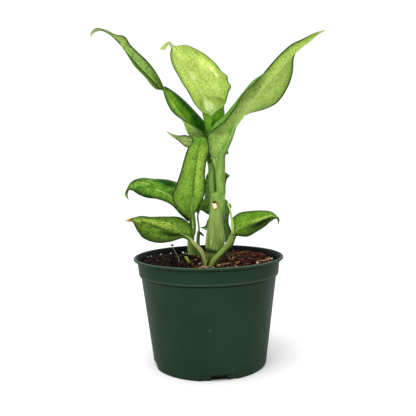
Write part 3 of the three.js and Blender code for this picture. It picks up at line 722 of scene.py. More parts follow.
def scatter(name, kind, places, skin, chance):
    """Many bits as one piece. A place is x, y, size in x, y, z, and how deep it sits."""
    vertices, faces, tones = [], [], []
    for x, y, sizes, sink in places:
        points, corners = crumb_shape(kind, chance)
        tones += [chance.uniform(-1, 1) + x / 80] * len(points)
        turn = Matrix.Rotation(chance.uniform(0, 6.28), 3, "Z")
        turn = turn @ Matrix.Rotation(chance.uniform(-0.5, 0.5), 3, "X")
        turn = turn @ Matrix.Rotation(chance.uniform(-0.4, 0.4), 3, "Y")
        points = (points * sizes) @ np.array(turn).T
        points += [x, y, rough_height(x, y) + sizes[2] * (0.5 - sink)]
        faces += [[c + len(vertices) for c in corner] for corner in corners]
        vertices += points.tolist()
    piece = add_piece(name, vertices, faces, [skin], smooth=kind == "pearl")
    set_attribute(piece, "tone", tones)


def add_fibres(name, paths, skin):
    """Thin strands as one piece. A path is a list of x, y, z, radius rows."""
    vertices, faces = [], []
    for rows in paths:
        points, corners, _ = tube_mesh(rows, sides=6, steps_each=4, bulge=0)
        faces += [[c + len(vertices) for c in corner] for corner in corners]
        vertices += points.tolist()
    add_piece(name, vertices, faces, [skin])


def open_ground(chance):
    """A random place on the mix that is clear of the stems and of the wall."""
    while True:
        turn, reach = chance.uniform(0, FULL_TURN), OPEN_RADIUS * math.sqrt(chance.uniform(0, 1))
        x, y = reach * math.cos(turn), reach * math.sin(turn)
        if all(math.hypot(x - foot_x, y - foot_y) > radius for foot_x, foot_y, radius in STEM_FEET):
            return x, y


def flakes(chance, count, low, high, sink):
    """Places and sizes of flat bits."""
    places = []
    for _ in range(count):
        x, y = open_ground(chance)
        sizes = (chance.uniform(low, high), chance.uniform(low, high) * 0.6, chance.uniform(0.6, 1.4))
        places.append((x, y, sizes, sink))
    return places


def round_bits(chance, count, low, high):
    """Places and sizes of bits that are as wide as they are high."""
    return [(*open_ground(chance), [chance.uniform(low, high)] * 3, 0.3) for _ in range(count)]


def strand(chance, x, y, length, radius):
    """Rows of a crooked strand that lies on the mix."""
    turn = chance.uniform(0, FULL_TURN)
    rows = []
    for _ in range(6):
        if math.hypot(x, y) > OPEN_RADIUS - 1:
            break
        rows.append((x, y, rough_height(x, y) + radius + chance.uniform(0, 0.6), radius))
        turn += chance.uniform(-0.6, 0.6)
        x, y = x + length / 5 * math.cos(turn), y + length / 5 * math.sin(turn)
    return rows


def laid(paths, radius):
    """Rows of strands that lie over the mix, from points of x, y and height over the mix."""
    return [[(x, y, rough_height(x, y) + over, radius) for x, y, over in path] for path in paths]


# Heaps of the mix: x, y, rise and spread
HEAPS = [(-15, 30, 3.4, 28), (4, -18, 1.6, 26), (48, 46, 4.2, 34), (-64, 30, 4, 26)]
# Feet of the stems: x, y, radius
STEM_FEET = [(4, -20, 14), (-19, 34, 6), (-12, 39, 4), (-33, 4, 1.5), (0, -30, 8), (8, -29, 7)]
# Bits that the photograph shows one by one: x, y and size
PERLITE = [
    (-70, 22, 1.8), (-67, 30, 2), (-57, 46, 2.2), (-46, 57, 2.1), (-31, 61, 2.2), (-27, 56, 1.8),
    (-9.4, -13.5, 2.4), (1.7, -30, 1.8), (5, -36, 1.8), (53.2, -12.5, 2.3), (71.5, 11, 2), (24, 24, 1.4),
]
GRAINS = [(-64, 33, 1.9), (-42, 58, 1.7), (-45, 55, 1.5), (-17.3, 0, 1.7)]
BARK = [(39.4, 0.5), (46.9, 11), (52, 18), (42, -7.5), (48.7, -8), (57, 25.5), (61, 18.5), (50, 3), (55, 10)]
# Root strands over the mix at the right, and pale strips: x, y and height over the mix
ROOTS = [
    [(30, 67, 3), (33, 50, 1.5), (37, 44, 1), (46, 48, 1)],
    [(23, 40, 2.5), (26, 30, 1.5), (24, 20, 0.6), (22, 8, 1)],
    [(29, 30, 2), (36, 34, 1.6), (42, 44, 1.2), (50, 52, 1)],
    [(34, 18, 1.6), (28, 24, 2.2), (30, 36, 1.6), (40, 40, 1)],
    [(26, 9, 1), (32, 12, 1.8), (40, 16, 1.2), (46, 28, 1)],
    [(38, 32, 1.6), (33, 24, 1.2), (27, 14, 0.8), (29, 2, 0.6)],
]
STRIPS = [
    [(8.3, -30, 0.6), (13.2, -23.5, 1), (18.8, -17.5, 0.8), (25.2, -7, 0.5)],
    [(-10, -34, 0.4), (-6, -32.5, 1), (-1.5, -32.5, 0.8), (1.4, -29, 0.2)],
    [(58.6, 3.5, 0.6), (63, 1.5, 1), (68, 9, 1.2), (69.5, 14, 0.4)],
]
ROOT_RADIUS = 0.42
STRIP_RADIUS = 1.1
# Scrap of a leaf: x, y, height over the mix and radius
SCRAP = [(-27, 22, 0.6, 1.2), (-25, 15, 1.2, 1.6), (-23, 5, 1.2, 1.6), (-21.5, -2, 0.6, 1)]


def dress_soil():
    chance = random.Random(5)
    add_soil(speckled("peat", (4, 1, 1), (86, 38, 20), 420, 1.2, level=(0.48, 0.82)))
    bark = speckled("bark", (5, 3, 2), (146, 98, 60), 300, 0.5, level=(0.42, 1.15))
    dark = speckled("bark_dark", (4, 1, 1), (104, 50, 28), 400, 0.6, level=(0.46, 1.15))
    tan = speckled("bark_tan", (110, 70, 44), (214, 168, 124), 350, 0.4, level=(0.2, 0.9))
    red = speckled("bark_red", (16, 5, 3), (92, 32, 18), 300, 0.5, level=(0.35, 0.9))
    pearl = speckled("perlite", (180, 176, 166), (250, 247, 240), 700, 0.3, 0.8)
    grain = speckled("fertiliser", (6, 60, 48), (20, 110, 88), 500, 0.2, 0.5)
    fibre = speckled("fibre", (44, 24, 12), (120, 80, 48), 300, 0.2)
    root = speckled("root", (36, 20, 7), (146, 110, 52), 300, 0.2)
    strip = speckled("pale_strip", (120, 80, 52), (236, 200, 164), 300, 0.4)
    scrap = speckled("leaf_scrap", (96, 116, 30), (196, 206, 80), 300, 0.4)
    scatter("bark_bits", "flake", flakes(chance, 360, 2.0, 6.0, 0.2), bark, chance)
    scatter("dark_bits", "flake", flakes(chance, 620, 1.8, 5.0, 0.25), dark, chance)
    scatter("tan_bits", "flake", flakes(chance, 60, 1.0, 3.0, 0.1), tan, chance)
    scatter("red_bits", "flake", [(x, y, (7, 4, 1.6), 0.1) for x, y in BARK], red, chance)
    scatter("crumbs", "crumb", round_bits(chance, 700, 0.8, 2.4), dark, chance)
    pearls = round_bits(chance, 16, 0.6, 1.3) + [(x, y, [size * 1.1] * 3, 0.1) for x, y, size in PERLITE]
    scatter("perlite_bits", "pearl", pearls, pearl, chance)
    scatter("fertiliser_grains", "pearl", [(x, y, [size] * 3, 0.1) for x, y, size in GRAINS], grain, chance)
    strands = []
    for _ in range(130):
        x, y = open_ground(chance)
        strands.append(strand(chance, x, y, chance.uniform(8, 22), chance.uniform(0.12, 0.3)))
    add_fibres("fibres", [rows for rows in strands if len(rows) > 2], fibre)
    add_fibres("roots", laid(ROOTS, ROOT_RADIUS), root)
    add_fibres("pale_strips", laid(STRIPS, STRIP_RADIUS), strip)
    rows = [(x, y, rough_height(x, y) + over, radius) for x, y, over, radius in SCRAP]
    add_fibres("leaf_scrap", [rows], scrap)


# Stems. A row is x, y, z and radius.

SHEATH = [
    (5.2, -19.3, 125.4, 7.8), (5.8, -18.8, 127.4, 9.3), (6.6, -18, 132, 10.1), (7.6, -17, 138, 10.4),
    (8, -15, 154, 8.5), (8.4, -12, 170, 6.3), (8, -10, 182, 5.4),
]
SHEATH_LENGTH = 57.5
# Below this height the sheath droops in front, by this share of each mm down and each mm forward
DROOP_FROM = 134
DROOP = 0.25 / 8.6
# The slanting cut at the sheath's top, its pale middle and the middle of the painted shade that stands for
# the mouth of its hole
SCAR_FOOT = (8, -18, 171.5)
SCAR_TILT = math.radians(68)
SCAR_BLOCK = 40
SCAR_MIDDLE = (6.7, -16.7, 175.2)
SCAR_HOLE = (7.1, -15.3, 179)
STEM_FOOT = [
    (3, -20, 84, 8.5), (2.5, -21, 102, 7.5), (2.8, -21.5, 113, 6.9), (4.2, -20.5, 121, 7.6),
    (5.4, -19.2, 127, 8.4),
]
SHOOT = [(10, -9, 153, 6.5), (12, -8, 170, 7.2), (11.5, -7, 181, 7.8), (11.5, -7, 187, 8)]
BUD = [(1.2, -27.5, 112, 2.3), (-0.4, -29.6, 118.5, 2.7), (-0.2, -28.8, 123, 2.1), (0.6, -27.6, 124.6, 0.8)]
BUD_TIP = [(-1.6, -32, 119, 0.5), (-2.8, -32, 116, 0.9), (-3, -31.4, 112, 0.8)]
LEFT_CANE = [
    (-20, 32, 94, 4.6), (-19, 34, 112, 4.6), (-20, 30, 123, 4.3), (-20, 25, 133, 4), (-18, 20, 143, 3.2),
]
SMALL_CANE = [(-10, 40, 96, 2.6), (-12, 38, 120, 2.4), (-12, 37, 132, 2.2), (-11, 36, 142, 1.9)]
HOOKED_LEAFLET = [(-11, 36, 141, 1.3), (-8.6, 35, 139.6, 1.6), (-5, 34, 136.4, 0.7)]
STALK_WING = [
    (-2.6, -28.6, 119, 0.7), (-3.4, -29, 122, 1.2), (-7, -29.5, 129, 1.5), (-11.6, -28.6, 134.6, 1.3),
    (-17, -26.4, 140.4, 0.6),
]
BRACT = [(9.6, -9.2, 214.5, 0.4), (8.9, -8.8, 219, 1.3), (8, -7.6, 224, 1.9), (7.2, -6.2, 229, 1.2)]
# A bract behind the stalks, partly a real sheath edge; its dark green is painted shade filling the gap in
# their shadow
SHADED_BRACT_BEHIND = [(3.4, -2.5, 218, 1), (3, -3.5, 223, 2.2), (2.4, -4.2, 228, 2.4), (1.6, -5, 233, 1)]
THREAD = [
    (-33, 5, 104, 0.5), (-33, 4, 112, 0.5), (-34, 4, 117, 0.45), (-37, 3, 123, 0.4), (-40, 2, 129, 0.35),
]
SEED_LEAF = [(-41.5, 2, 130, 0.3), (-40, 2, 131, 1.5), (-38.4, 2, 131, 0.4)]


def add_sheath():
    """The main stem's sheath, drooping at its lower edge and cut off aslant at its top."""
    sheath = add_stalk("sheath", SHEATH, sheath_skin(), "main_stem", dark_side=(1, 0, 0), sides=64)
    for vertex in sheath.data.vertices:
        below = max(0, DROOP_FROM * MM - vertex.co.z)
        vertex.co.z += DROOP * (vertex.co.y / MM - SHEATH[0][1]) * below
    place = Matrix.Translation(Vector(SCAR_FOOT) * MM) @ Matrix.Rotation(SCAR_TILT, 4, "X")
    place = place @ Matrix.Translation((0, 0, SCAR_BLOCK / 2 * MM))
    cut_block(sheath, [SCAR_BLOCK] * 3, place, scar_skin())


def add_stems():
    add_sheath()
    add_stalk("stem_foot", STEM_FOOT, foot_skin(), "main_stem", sides=64)
    # Its dark foot is painted shade in the gap beside the sheath
    add_streaked("inner_shoot", "main_stem", SHOOT, (134, 172, 78), (100, 140, 54),
                 sides=48, shaded=0, foot=(30, 58, 12), foot_reach=0.72)
    add_streaked("bud", "main_stem", BUD, (84, 100, 34), (40, 52, 8), shaded=0.6)
    add_streaked("bud_tip", "main_stem", BUD_TIP, (176, 184, 108), (120, 134, 60), shaded=0.3)
    add_streaked("left_cane", "left_stem", LEFT_CANE, (192, 232, 124), (140, 184, 88),
                 dark_side=(1, 0, -0.2), shaded=0.6)
    add_streaked("small_cane", "small_stem", SMALL_CANE, (132, 166, 84), (98, 130, 56),
                 dark_side=(0.9, 0, 0.3), shaded=0.5)
    add_streaked("hooked_leaflet", "small_stem", HOOKED_LEAFLET, (66, 110, 26), (34, 70, 10))
    add_streaked("stalk_wing", None, STALK_WING, (166, 164, 112), (124, 134, 78),
                 slot="leaf", sides=16, shaded=0.3)
    add_streaked("bract", None, BRACT, (166, 200, 92), (124, 164, 62), sides=16, shaded=0.3)
    # Dark tints: painted shade in the gap behind the stalks
    add_streaked("shaded_bract_behind", None, SHADED_BRACT_BEHIND, (56, 98, 24), (34, 68, 14), sides=16)
    add_streaked("seedling_thread", "seedling", THREAD, (196, 190, 170), (150, 150, 120), sides=8, shaded=0.4)
    add_streaked("seed_leaf", "seedling", SEED_LEAF, (84, 150, 40), (50, 110, 22), shaded=0.5)


# Leaves

# What a leaf has unless it says otherwise: its form, how strong rim, clouds, grain and specks are, the gain
# of painted light and shade on the right half of each face, and tints
PLAIN_LEAF = dict(
    slot="leaf", bow=0.1, vein_gap=5, rib_depth=1.4, rib_width=2.2, rib_mark=1.6, rib_share=0.8,
    rim=0.45, cloud=0.2, grain=0.4, specks=0.42, right_upper=1, right_under=1, margin_mm=1.6, tip_from=0.92,
    dark_side=(0.5, 0, -0.8), tip_tint=(170, 186, 92), foot=None, marks={},
)
MARGIN_TINTS = {"upper": (20, 54, 12), "under": (30, 62, 18)}
# Tints of the upper and the under face are those at its foot, middle and tip. A mark has a tint and its
# places: along, across, and how far it reaches both ways. A station has the middle, the left and the right
# edge of a row and, where they don't follow the bow, points half way to the left and the right edge.
# The seed shifts the leaf's noise.
LEAVES = {
    "leaf_upper_left": dict(
        seed=11, vein_gap=6, rim=0.6, cloud=0.14, grain=0.22, right_upper=0.72, right_under=1.3,
        upper=[(104, 156, 38), (118, 164, 46), (66, 110, 26)],
        under=[(145, 178, 92), (127, 158, 78), (147, 168, 87)],
        stalk_tint=(113, 152, 66),
        marks=dict(
            # deep: painted shade
            deep=((30, 90, 8), [(0.13, 0.65, 0.09, 0.42), (0.25, 0.7, 0.1, 0.36)]),
            pale=((144, 186, 64), [(0.26, -0.25, 0.14, 0.28), (0.62, 0.5, 0.1, 0.3)]),
        ),
        stations=[
            [[-4, 4, 232], [-5, 2, 236], [-2, 7, 237]],
            [[-11, 6, 240], [-3, -4, 255], [2, 18, 263]],
            [[-19, 7, 254], [-9.6, -8, 259.3], [-2.5, 21, 269]],
            [[-25, 8, 269], [-21, -9, 265], [-11.4, 22, 279.2]],
            [[-33, 8, 283], [-35.8, -8, 276.4], [-24.7, 20, 293]],
            [[-41, 8, 295], [-43, -7, 290], [-36, 17, 302]],
            [[-47, 7, 305], [-46, -7, 302], [-45, 6, 306], None, [-47, 8, 302]],
            [[-54, 5, 315], [-50.5, -4, 315.5], [-48.4, -3, 302], None, [-56, 4, 305]],
            [[-64, 3, 327], [-62, 0, 332], [-58, -5, 312.2], None, [-66, 2, 317]],
            [[-74, 2, 338], [-71.6, 0, 341.4], [-69, -5, 324], None, [-78, 1, 330]],
            [[-84, 0, 348], [-80, 0, 350], [-81, -3, 338], None, [-85, 1, 342]],
            [[-92, -2, 355], [-86, 0, 359], [-94, -2, 353]],
            [[-99, -3, 360], [-96, -2, 361], [-100, -3, 359]],
            [[-108, -4, 365], [-107, -3, 366], [-109, -4, 364]],
            [[-115, -5, 365], [-116, -5, 367], [-114, -5, 364]],
            [[-120.6, -5, 362], [-121.6, -5, 362], [-119.6, -5, 361]],
        ],
        tip=[-122.2, -5, 357],
        stalk=[
            (6, -5, 187.4, 3.3), (5, -5, 197, 3.4), (4.8, -4, 210, 3.4), (3.6, -1.4, 222, 3.1),
            (-3, 4, 232, 2.4), (-11, 6, 240, 1.6), (-19, 7, 254, 0.8),
        ],
    ),
    "leaf_centre": dict(
        seed=23, slot="young_leaf", bow=0.05, vein_gap=6, rib_depth=0.9, rib_mark=8, rib_share=0.42,
        rim=0.42, cloud=0.12, grain=0.26, specks=0.34, margin_mm=1.7, dark_tint=(104, 144, 40),
        # foot: painted shade over the stalk's lower part, in the shade of the other stalks
        margin_tint=(50, 98, 20), rib_tint=(206, 226, 150), tip_tint=(158, 186, 74), foot=(34, 64, 12),
        upper=[(154, 184, 84), (173, 195, 94), (160, 184, 88)],
        under=[(88, 146, 30), (118, 162, 52), (136, 174, 64)],
        stalk_tint=(184, 224, 92),
        marks=dict(
            lit=((196, 220, 108), [
                (0.2, 0.3, 0.05, 0.3), (0.4, -0.04, 0.16, 0.18), (0.7, 0.1, 0.12, 0.3),
                (0.58, 0.64, 0.09, 0.22),
            ]),
            cream=((214, 228, 164), [
                (0.175, -0.05, 0.035, 0.24), (0.25, 0.03, 0.03, 0.1), (0.4, 0.03, 0.05, 0.06),
            ]),
            yellow=((226, 238, 134), [(0.545, 0.78, 0.05, 0.09), (0.47, 0.74, 0.025, 0.06)]),
        ),
        stations=[
            [[5, 4, 252], [6, -4, 251], [4, -1, 252], [1, 0, 253], [8, 0, 253]],
            [[6, 8, 262], [7, -8, 262], [5, -4, 262], [-1, -1, 262], [14, 1, 261]],
            [[7, 11, 272], [8, -10, 269], [5, -6, 270], [-3, 0, 272], [20, 2, 271]],
            [[3, 13, 285], [-4, -6, 276], [20.2, -4, 283.4], [-5, 5, 282], [17.2, 7, 287.4]],
            [[-4, 14, 298], [-13, 0, 287], [23.6, -3, 292]],
            [[-8, 14, 305], [-17, 2, 295], [25, -2, 297]],
            [[-11, 14, 310], [-21, 4, 302], [28, 0, 304]],
            [[-15, 14, 316], [-26, 6, 310], [25, 2, 309.4]],
            [[-18, 14, 323], [-30, 8, 318], [24, 3, 315.6]],
            [[-22, 13, 328], [-34, 9, 325], [17, 4, 321.8]],
            [[-25, 12, 334], [-37, 9, 333], [14, 5, 327]],
            [[-30, 11, 340], [-38, 9, 338], [4, 6, 337]],
            [[-33, 10, 344], [-38, 9, 343], [-6.4, 6, 344]],
            [[-35, 8, 347], [-37, 8, 347], [-20, 6, 350]],
            [[-36, 7, 349], [-37, 7, 348], [-34, 7, 350]],
            [[-38, 6, 352], [-39, 5, 351], [-38, 6, 354]],
            [[-43, 5, 348.4], [-43.4, 4, 345.4], [-44, 5, 351]],
        ],
        tip=[-49, 3, 345.4],
        stalk=[
            (12, -1.5, 187.4, 2.6), (10, 1, 197, 3), (9, 3, 210, 3), (8, 4, 225, 2.8), (7, 4, 240, 2.3),
            (5, 4, 252, 1.6), (6, 8, 262, 1),
        ],
    ),
    "leaf_right": dict(
        seed=37, bow=0.08, vein_gap=6, rib_depth=1.8, rib_width=2.6, rib_mark=3.4, rim=0.36, cloud=0.12,
        grain=0.26, margin_mm=2.2, dark_tint=(66, 108, 30), rib_tint=(158, 190, 102),
        tip_tint=(172, 178, 88),
        upper=[(106, 150, 54), (100, 142, 58), (140, 168, 104)],
        under=[(146, 178, 84), (152, 180, 86), (142, 170, 72)],
        stalk_tint=(125, 162, 72),
        marks=dict(
            pale=((172, 198, 112), [(0.34, 0.16, 0.12, 0.14)]),
            green=((92, 142, 46), [(0.0, 0.02, 0.08, 0.3), (0.1, 0.02, 0.08, 0.22), (0.19, 0.0, 0.06, 0.12)]),
        ),
        stations=[
            [[14.6, -9.4, 225.6], [24, -4, 231], [3.6, -9, 228]],
            [[21, -12, 236], [22, 2, 242], [-0.2, -13, 237.4]],
            [[26, -14, 246], [27, 4, 259], [0.8, -16, 249.4]],
            [[31, -16, 258], [37, 2, 269], [7, -18, 255], None, [10.6, -8, 261.4]],
            [[38, -19, 268], [47, -2, 274], [20, -21, 264], None, [20.6, -10, 271.4]],
            [[46, -22, 280], [61.5, -8, 277.2], [32, -25, 279], None, [28.7, -14, 280.3]],
            [[55, -25, 291], [75.7, -14, 283.4], [40, -28, 292], None, [40.6, -18, 293.4]],
            [[65, -28, 303], [86, -20, 297.6], [52, -30, 302], None, [51, -22, 306]],
            [[76, -31, 314], [90.8, -25, 311.8], [64, -30, 317]],
            [[85, -34, 324], [92, -29, 328], [76, -30, 330]],
            [[95, -36, 333], [97, -30, 338], [88, -32, 340]],
            [[106, -38, 341], [106, -34, 346], [100, -36, 345]],
            [[115, -40, 348], [115, -39, 350], [112, -39, 350]],
        ],
        tip=[123, -42, 352],
        stalk=[
            (15, -9.5, 187.4, 4.6), (14.7, -9, 197, 4.9), (14.5, -9, 208, 5), (15, -9, 219, 5),
            (16, -10, 228, 4.3), (21, -12, 236, 2.3), (26, -14, 246, 1.9), (31, -16, 258, 1),
        ],
    ),
    "leaf_front": dict(
        seed=41, slot="young_leaf", bow=0.08, vein_gap=5.5, rib_mark=3.0, rib_share=0.7, rim=0.4,
        cloud=0.16, grain=0.3, rib_tint=(66, 114, 28),
        upper=[(124, 170, 60), (124, 162, 54), (100, 138, 44)],
        under=[(130, 166, 76), (132, 164, 76), (158, 180, 102)],
        stalk_tint=(178, 232, 112),
        marks=dict(
            # deep: painted shade at the fold
            deep=((84, 132, 38), [(0.54, 0.0, 0.06, 1.4)]),
            pale=((150, 180, 70), [(0.03, -0.1, 0.05, 0.5), (0.3, 0.3, 0.12, 0.25)]),
        ),
        stations=[
            [[-17, 8, 161], [-21, 7, 158], [-15, 8, 164]],
            [[-17, 2, 172], [-30, -4, 168], [-9, -2, 175]],
            [[-16, -4, 184], [-38, -11, 185], [-4, -8, 184]],
            [[-15, -8, 198], [-33, -14, 199], [-2, -11, 196]],
            [[-13, -12, 212], [-28, -17, 213], [-2, -14, 210]],
            [[-11, -15, 225], [-24, -18, 226], [0, -17, 224]],
            [[-9, -17, 236], [-20, -18, 237], [3, -19, 235]],
            [[-6, -16, 245], [-15, -16, 244], [1, -19, 247]],
            [[-9, -11, 248], [-16, -11, 248], [-3, -13, 247]],
            [[-16, -5, 245], [-18, -8, 250], [-13, -4, 238]],
            [[-23, 0, 246], [-23, -4, 252], [-22, 3, 239]],
            [[-31, 5, 250], [-31, 3, 252], [-32, 6, 247]],
            [[-40, 9, 254], [-39, 9, 255], [-40, 9, 253]],
        ],
        tip=[-46, 12, 259],
        stalk=[
            (-17, 21, 141, 2.6), (-15.8, 16, 150, 2.4), (-16.2, 9, 161, 2.3), (-17, 2, 172, 1.5),
            (-16, -4, 184, 0.6),
        ],
    ),
    "leaf_middle_left": dict(
        seed=53, rim=0.5, cloud=0.4,
        upper=[(110, 156, 54), (88, 132, 38), (100, 140, 56)],
        under=[(110, 146, 74), (110, 146, 74), (120, 150, 84)],
        stalk_tint=(112, 152, 66),
        marks=dict(
            # deep: painted shade near the margins
            deep=((26, 70, 14), [
                (0.34, 0.6, 0.1, 0.3), (0.62, 0.6, 0.06, 0.3), (0.6, -0.9, 0.12, 0.3),
                (0.44, -0.9, 0.12, 0.12),
            ]),
            pale=((150, 182, 78), [
                (0.14, -0.7, 0.08, 0.4), (0.3, -0.2, 0.1, 0.14), (0.5, 0.12, 0.07, 0.12),
                (0.76, 0.05, 0.08, 0.12),
            ]),
        ),
        stations=[
            [[-20, 12, 159], [-22.4, 10, 156], [-20, 14, 161]],
            [[-28, 8, 172], [-30.4, 0, 165.4], [-21, 16, 184]],
            [[-38, 4, 184], [-40.6, -6, 177], [-27, 16, 196]],
            [[-51, 0, 193], [-54, -10, 183], [-42, 14, 203]],
            [[-65, -3, 198], [-66, -12, 185], [-60, 10, 205]],
            [[-75, -6, 200], [-75, -13, 189], [-74, 4, 206]],
            [[-82, -8, 198], [-81, -11, 193], [-83, -3, 202]],
            [[-86, -9, 194], [-85, -9, 193], [-87, -9, 195]],
            [[-87.6, -9, 188.6], [-86.4, -9, 188.6], [-89.4, -9, 188.6]],
        ],
        tip=[-85.4, -8, 181.6],
        stalk=[
            (-20, 24, 140, 2.6), (-20, 21, 148, 2), (-20, 13, 159, 1.6), (-28, 8, 172, 1.1),
            (-38, 4, 184, 0.5),
        ],
    ),
    "leaf_lower_left": dict(
        seed=67, rib_share=0.5, rim=0.6, cloud=0.3, right_upper=1.08, tip_from=1,
        dark_side=(-0.8, -0.1, -0.6), rib_tint=(34, 54, 14),
        upper=[(84, 115, 36), (78, 109, 30), (122, 150, 58)],
        under=[(120, 146, 76), (116, 142, 70), (120, 146, 76)],
        stalk_tint=(163, 188, 98),
        marks=dict(
            # deep: painted shade
            deep=((24, 40, 4), [(0.22, -0.36, 0.15, 0.3)]),
            pale=((136, 160, 62), [(0.42, 0.24, 0.2, 0.26), (0.7, -0.1, 0.08, 0.3)]),
            # crease: painted shadow along the rib's lower side
            crease=((26, 42, 10), [(0.36, -0.05, 0.22, 0.05)]),
            orange=((226, 156, 70), [(0.88, 0.0, 0.05, 3.0)]),
        ),
        stations=[
            [[-19, -25, 140], [-20, -27, 139], [-17, -23, 141]],
            [[-25, -27, 145], [-26, -34, 143], [-17, -18, 152]],
            [[-38, -29, 149], [-39, -41, 140.4], [-28, -16, 162.8]],
            [[-50, -32, 154], [-53, -45, 140.2], [-46, -19, 164.8]],
            [[-61, -35, 159], [-66.4, -46, 145.4], [-61, -25, 165.4]],
            [[-70, -38, 162], [-73, -45, 154], [-70, -32, 167]],
            [[-76, -40, 164], [-78, -41, 162], [-76, -38, 166]],
            [[-81, -41, 163], [-81, -41, 162], [-81, -41, 165]],
        ],
        tip=[-85, -42, 163],
        stalk=[
            (-2.5, -26.5, 108, 2.8), (-4.6, -27.5, 120, 2.9), (-8.4, -28, 128, 2.8), (-13.4, -27, 134, 2.6),
            (-19, -25, 140, 2), (-25, -26.8, 144.4, 1.2), (-31, -27.8, 146.6, 0.4),
        ],
    ),
    "leaf_lower_right": dict(
        seed=71, rib_share=0.4, rim=0.7, right_upper=0.5, dark_side=(0.8, -0.1, -0.6),
        rib_tint=(58, 92, 20),
        upper=[(100, 142, 36), (88, 131, 27), (85, 124, 35)],
        under=[(104, 138, 64), (104, 138, 64), (104, 138, 64)],
        stalk_tint=(121, 146, 68),
        marks=dict(
            # deep: painted shade
            deep=((16, 38, 6), [(0.46, 0.4, 0.2, 0.4)]),
            pale=((152, 178, 76), [(0.52, -0.12, 0.24, 0.12)]),
        ),
        stations=[
            [[27, -27, 145], [25, -24, 149], [28, -29, 144]],
            [[32, -27, 150], [26, -14, 160], [33, -34, 144]],
            [[41, -27, 154], [34, -12, 166.6], [41, -38, 144]],
            [[51, -26, 157], [46, -12, 168.6], [51, -37, 149]],
            [[61, -25, 161], [59, -14, 169], [60, -34, 154]],
            [[68, -24, 163], [68, -18, 168], [67, -29, 159]],
            [[72, -24, 162], [73, -22, 164], [72, -26, 161]],
            [[75, -24, 159], [76, -24, 160], [74, -24, 159]],
        ],
        tip=[74.6, -24, 153.6],
        stalk=[
            (1.5, -29.5, 108, 3.2), (5, -30.5, 116.5, 3.4), (11.4, -30.6, 124, 3.3), (17, -29, 129.6, 3.4),
            (22.6, -27.4, 135.6, 4), (26.8, -26, 144, 3.5), (32, -27, 150, 1.6), (41, -27, 154, 0.6),
        ],
    ),
    "leaf_back": dict(
        seed=83, vein_gap=4, rib_depth=0.8, rib_width=1.2, cloud=0.3, right_upper=0.75,
        # Dark tints: its own green darkened as painted shade, where it stands behind the stems
        upper=[(70, 108, 28), (80, 114, 44), (78, 114, 44)],
        under=[(76, 112, 50), (76, 112, 50), (76, 112, 50)],
        stalk_tint=(118, 153, 60),
        stations=[
            [[-12, 30, 163], [-13, 30, 165], [-11, 30, 163]],
            [[-8, 28, 171], [-13, 30, 178], [-7, 18, 168]],
            [[-1, 26, 175], [-4, 36, 180], [2, 17, 163]],
            [[6, 26, 183], [-3, 38, 187], [13, 17, 171]],
            [[11, 27, 192], [-3, 38, 197], [20, 16, 184]],
            [[17, 28, 200], [2, 36, 211], [21, 20, 196]],
            [[22, 29, 205], [17, 33, 212], [23, 26, 203]],
        ],
        tip=[27, 30, 207],
        stalk=[(-10.4, 36, 142.5, 1.1), (-11, 35, 151, 1), (-11.8, 32, 160, 1), (-8, 28, 171, 0.7)],
    ),
    "leaf_behind_stem": dict(
        seed=97, bow=0.12, vein_gap=4, rib_depth=0.8, rib_width=1.2, tip_tint=(44, 80, 40),
        upper=[(70, 106, 44), (60, 96, 36), (60, 96, 36)],
        under=[(190, 232, 130), (120, 164, 82), (106, 143, 76)],
        stalk_tint=(162, 186, 98),
        marks=dict(
            pale=((134, 166, 82), [(0.06, 0.0, 0.1, 1.2), (0.24, 0.5, 0.1, 0.3)]),
        ),
        stations=[
            [[22, -10, 176], [21, -9, 178], [24, -10, 175]],
            [[22, -4, 178], [18, 2, 181], [26, -4, 173]],
            [[20, 2, 174], [12, 6, 176], [24, 1, 166]],
            [[18, 5, 164], [7, 9, 167], [23, 4, 155]],
            [[14, 8, 154], [0, 12, 158], [26, 7, 143]],
            [[7, 12, 148], [-3, 14, 150.6], [21, 9, 132]],
            [[-2, 13, 147.6], [-5, 14, 149.8], [3, 12, 143.6]],
        ],
        tip=[-9, 13, 149],
        stalk=[
            (26, -27, 144, 1.2), (26, -30, 147, 1.3), (26, -28, 155, 1.3), (25, -22, 164, 1.2),
            (24, -15, 171, 1.1), (22, -9, 177, 0.9),
        ],
    ),
}


def add_leaves():
    for name, own in LEAVES.items():
        leaf = {**PLAIN_LEAF, **own}
        add_blade(name, leaf, [leaf_skin(name, leaf, face) for face in ("upper", "under")])
        light, dark = [shade(leaf["stalk_tint"], factor) for factor in (1.1, 0.76)]
        add_streaked(name + "_stalk", name, leaf["stalk"], light, dark, leaf["slot"], leaf["dark_side"],
                     foot=leaf["foot"])


# Stage


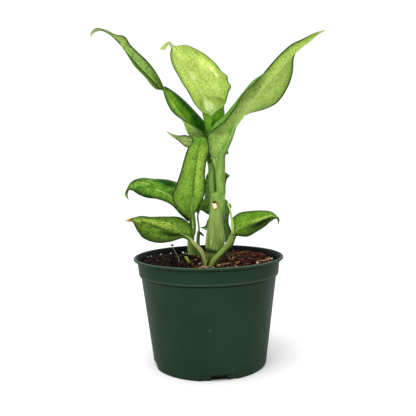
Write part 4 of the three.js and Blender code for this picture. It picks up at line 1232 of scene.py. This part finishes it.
def add_floor():
    corners = [(x * FLOOR_HALF, y * FLOOR_HALF, 0) for x, y in ((-1, -1), (1, -1), (1, 1), (-1, 1))]
    mesh = bpy.data.meshes.new("floor")
    mesh.from_pydata(corners, [], [(0, 1, 2, 3)])
    s = Shader("floor", 0.9)
    mesh.materials.append(s.finish(s.mix(s.noise(3, 2), (250, 250, 250), (254, 254, 254))))
    floor = bpy.data.objects.new("floor", mesh)
    bpy.context.scene.collection.objects.link(floor)


def add_sky():
    """White backdrop. What it sheds on the plant falls off from the zenith to below the horizon."""
    world = bpy.data.worlds.new("studio")
    world.use_nodes = True
    sky = Tree(world.node_tree)
    height = sky.node("SeparateXYZ", {0: sky.node("TexCoord")["Generated"]})["Z"]
    ends = {"From Min": -0.3, "From Max": 1, "To Min": SKY_LOW, "To Max": SKY_HIGH}
    fall = sky.node("MapRange", {"Value": height, **ends})["Result"]
    seen = sky.node("LightPath")["Is Camera Ray"]
    background = world.node_tree.nodes["Background"].inputs
    background["Color"].default_value = (1, 1, 1, 1)
    sky.feed(background["Strength"], sky.node("Mix", {"Factor": seen, "A": fall, "B": BACKDROP})["Result"])
    bpy.context.scene.world = world
    bpy.context.scene.view_settings.view_transform = "Standard"


def add_light():
    light = bpy.data.lights.new("key", "AREA")
    light.size = KEY_SIZE
    light.energy = KEY_POWER
    lamp = bpy.data.objects.new("key", light)
    lamp.location = KEY_PLACE
    lamp.rotation_euler = (KEY_AIM - KEY_PLACE).to_track_quat("-Z", "Y").to_euler()
    bpy.context.scene.collection.objects.link(lamp)


def add_camera():
    """Camera that looks along +Y and a little down, with a little roll."""
    camera = bpy.data.cameras.new("camera")
    camera.sensor_width = 36
    camera.lens = camera.sensor_width * FOCAL_PX / PHOTO_PX
    camera.clip_start = 0.01
    seat = bpy.data.objects.new("camera", camera)
    turn = Matrix.Rotation(math.pi / 2 - CAMERA_PITCH, 4, "X") @ Matrix.Rotation(CAMERA_ROLL, 4, "Z")
    seat.matrix_world = Matrix.Translation(CAMERA_PLACE) @ turn
    bpy.context.scene.collection.objects.link(seat)
    bpy.context.scene.camera = seat


add_camera()
add_floor()
add_sky()
add_light()
add_pot()
dress_soil()
add_stems()
add_leaves()
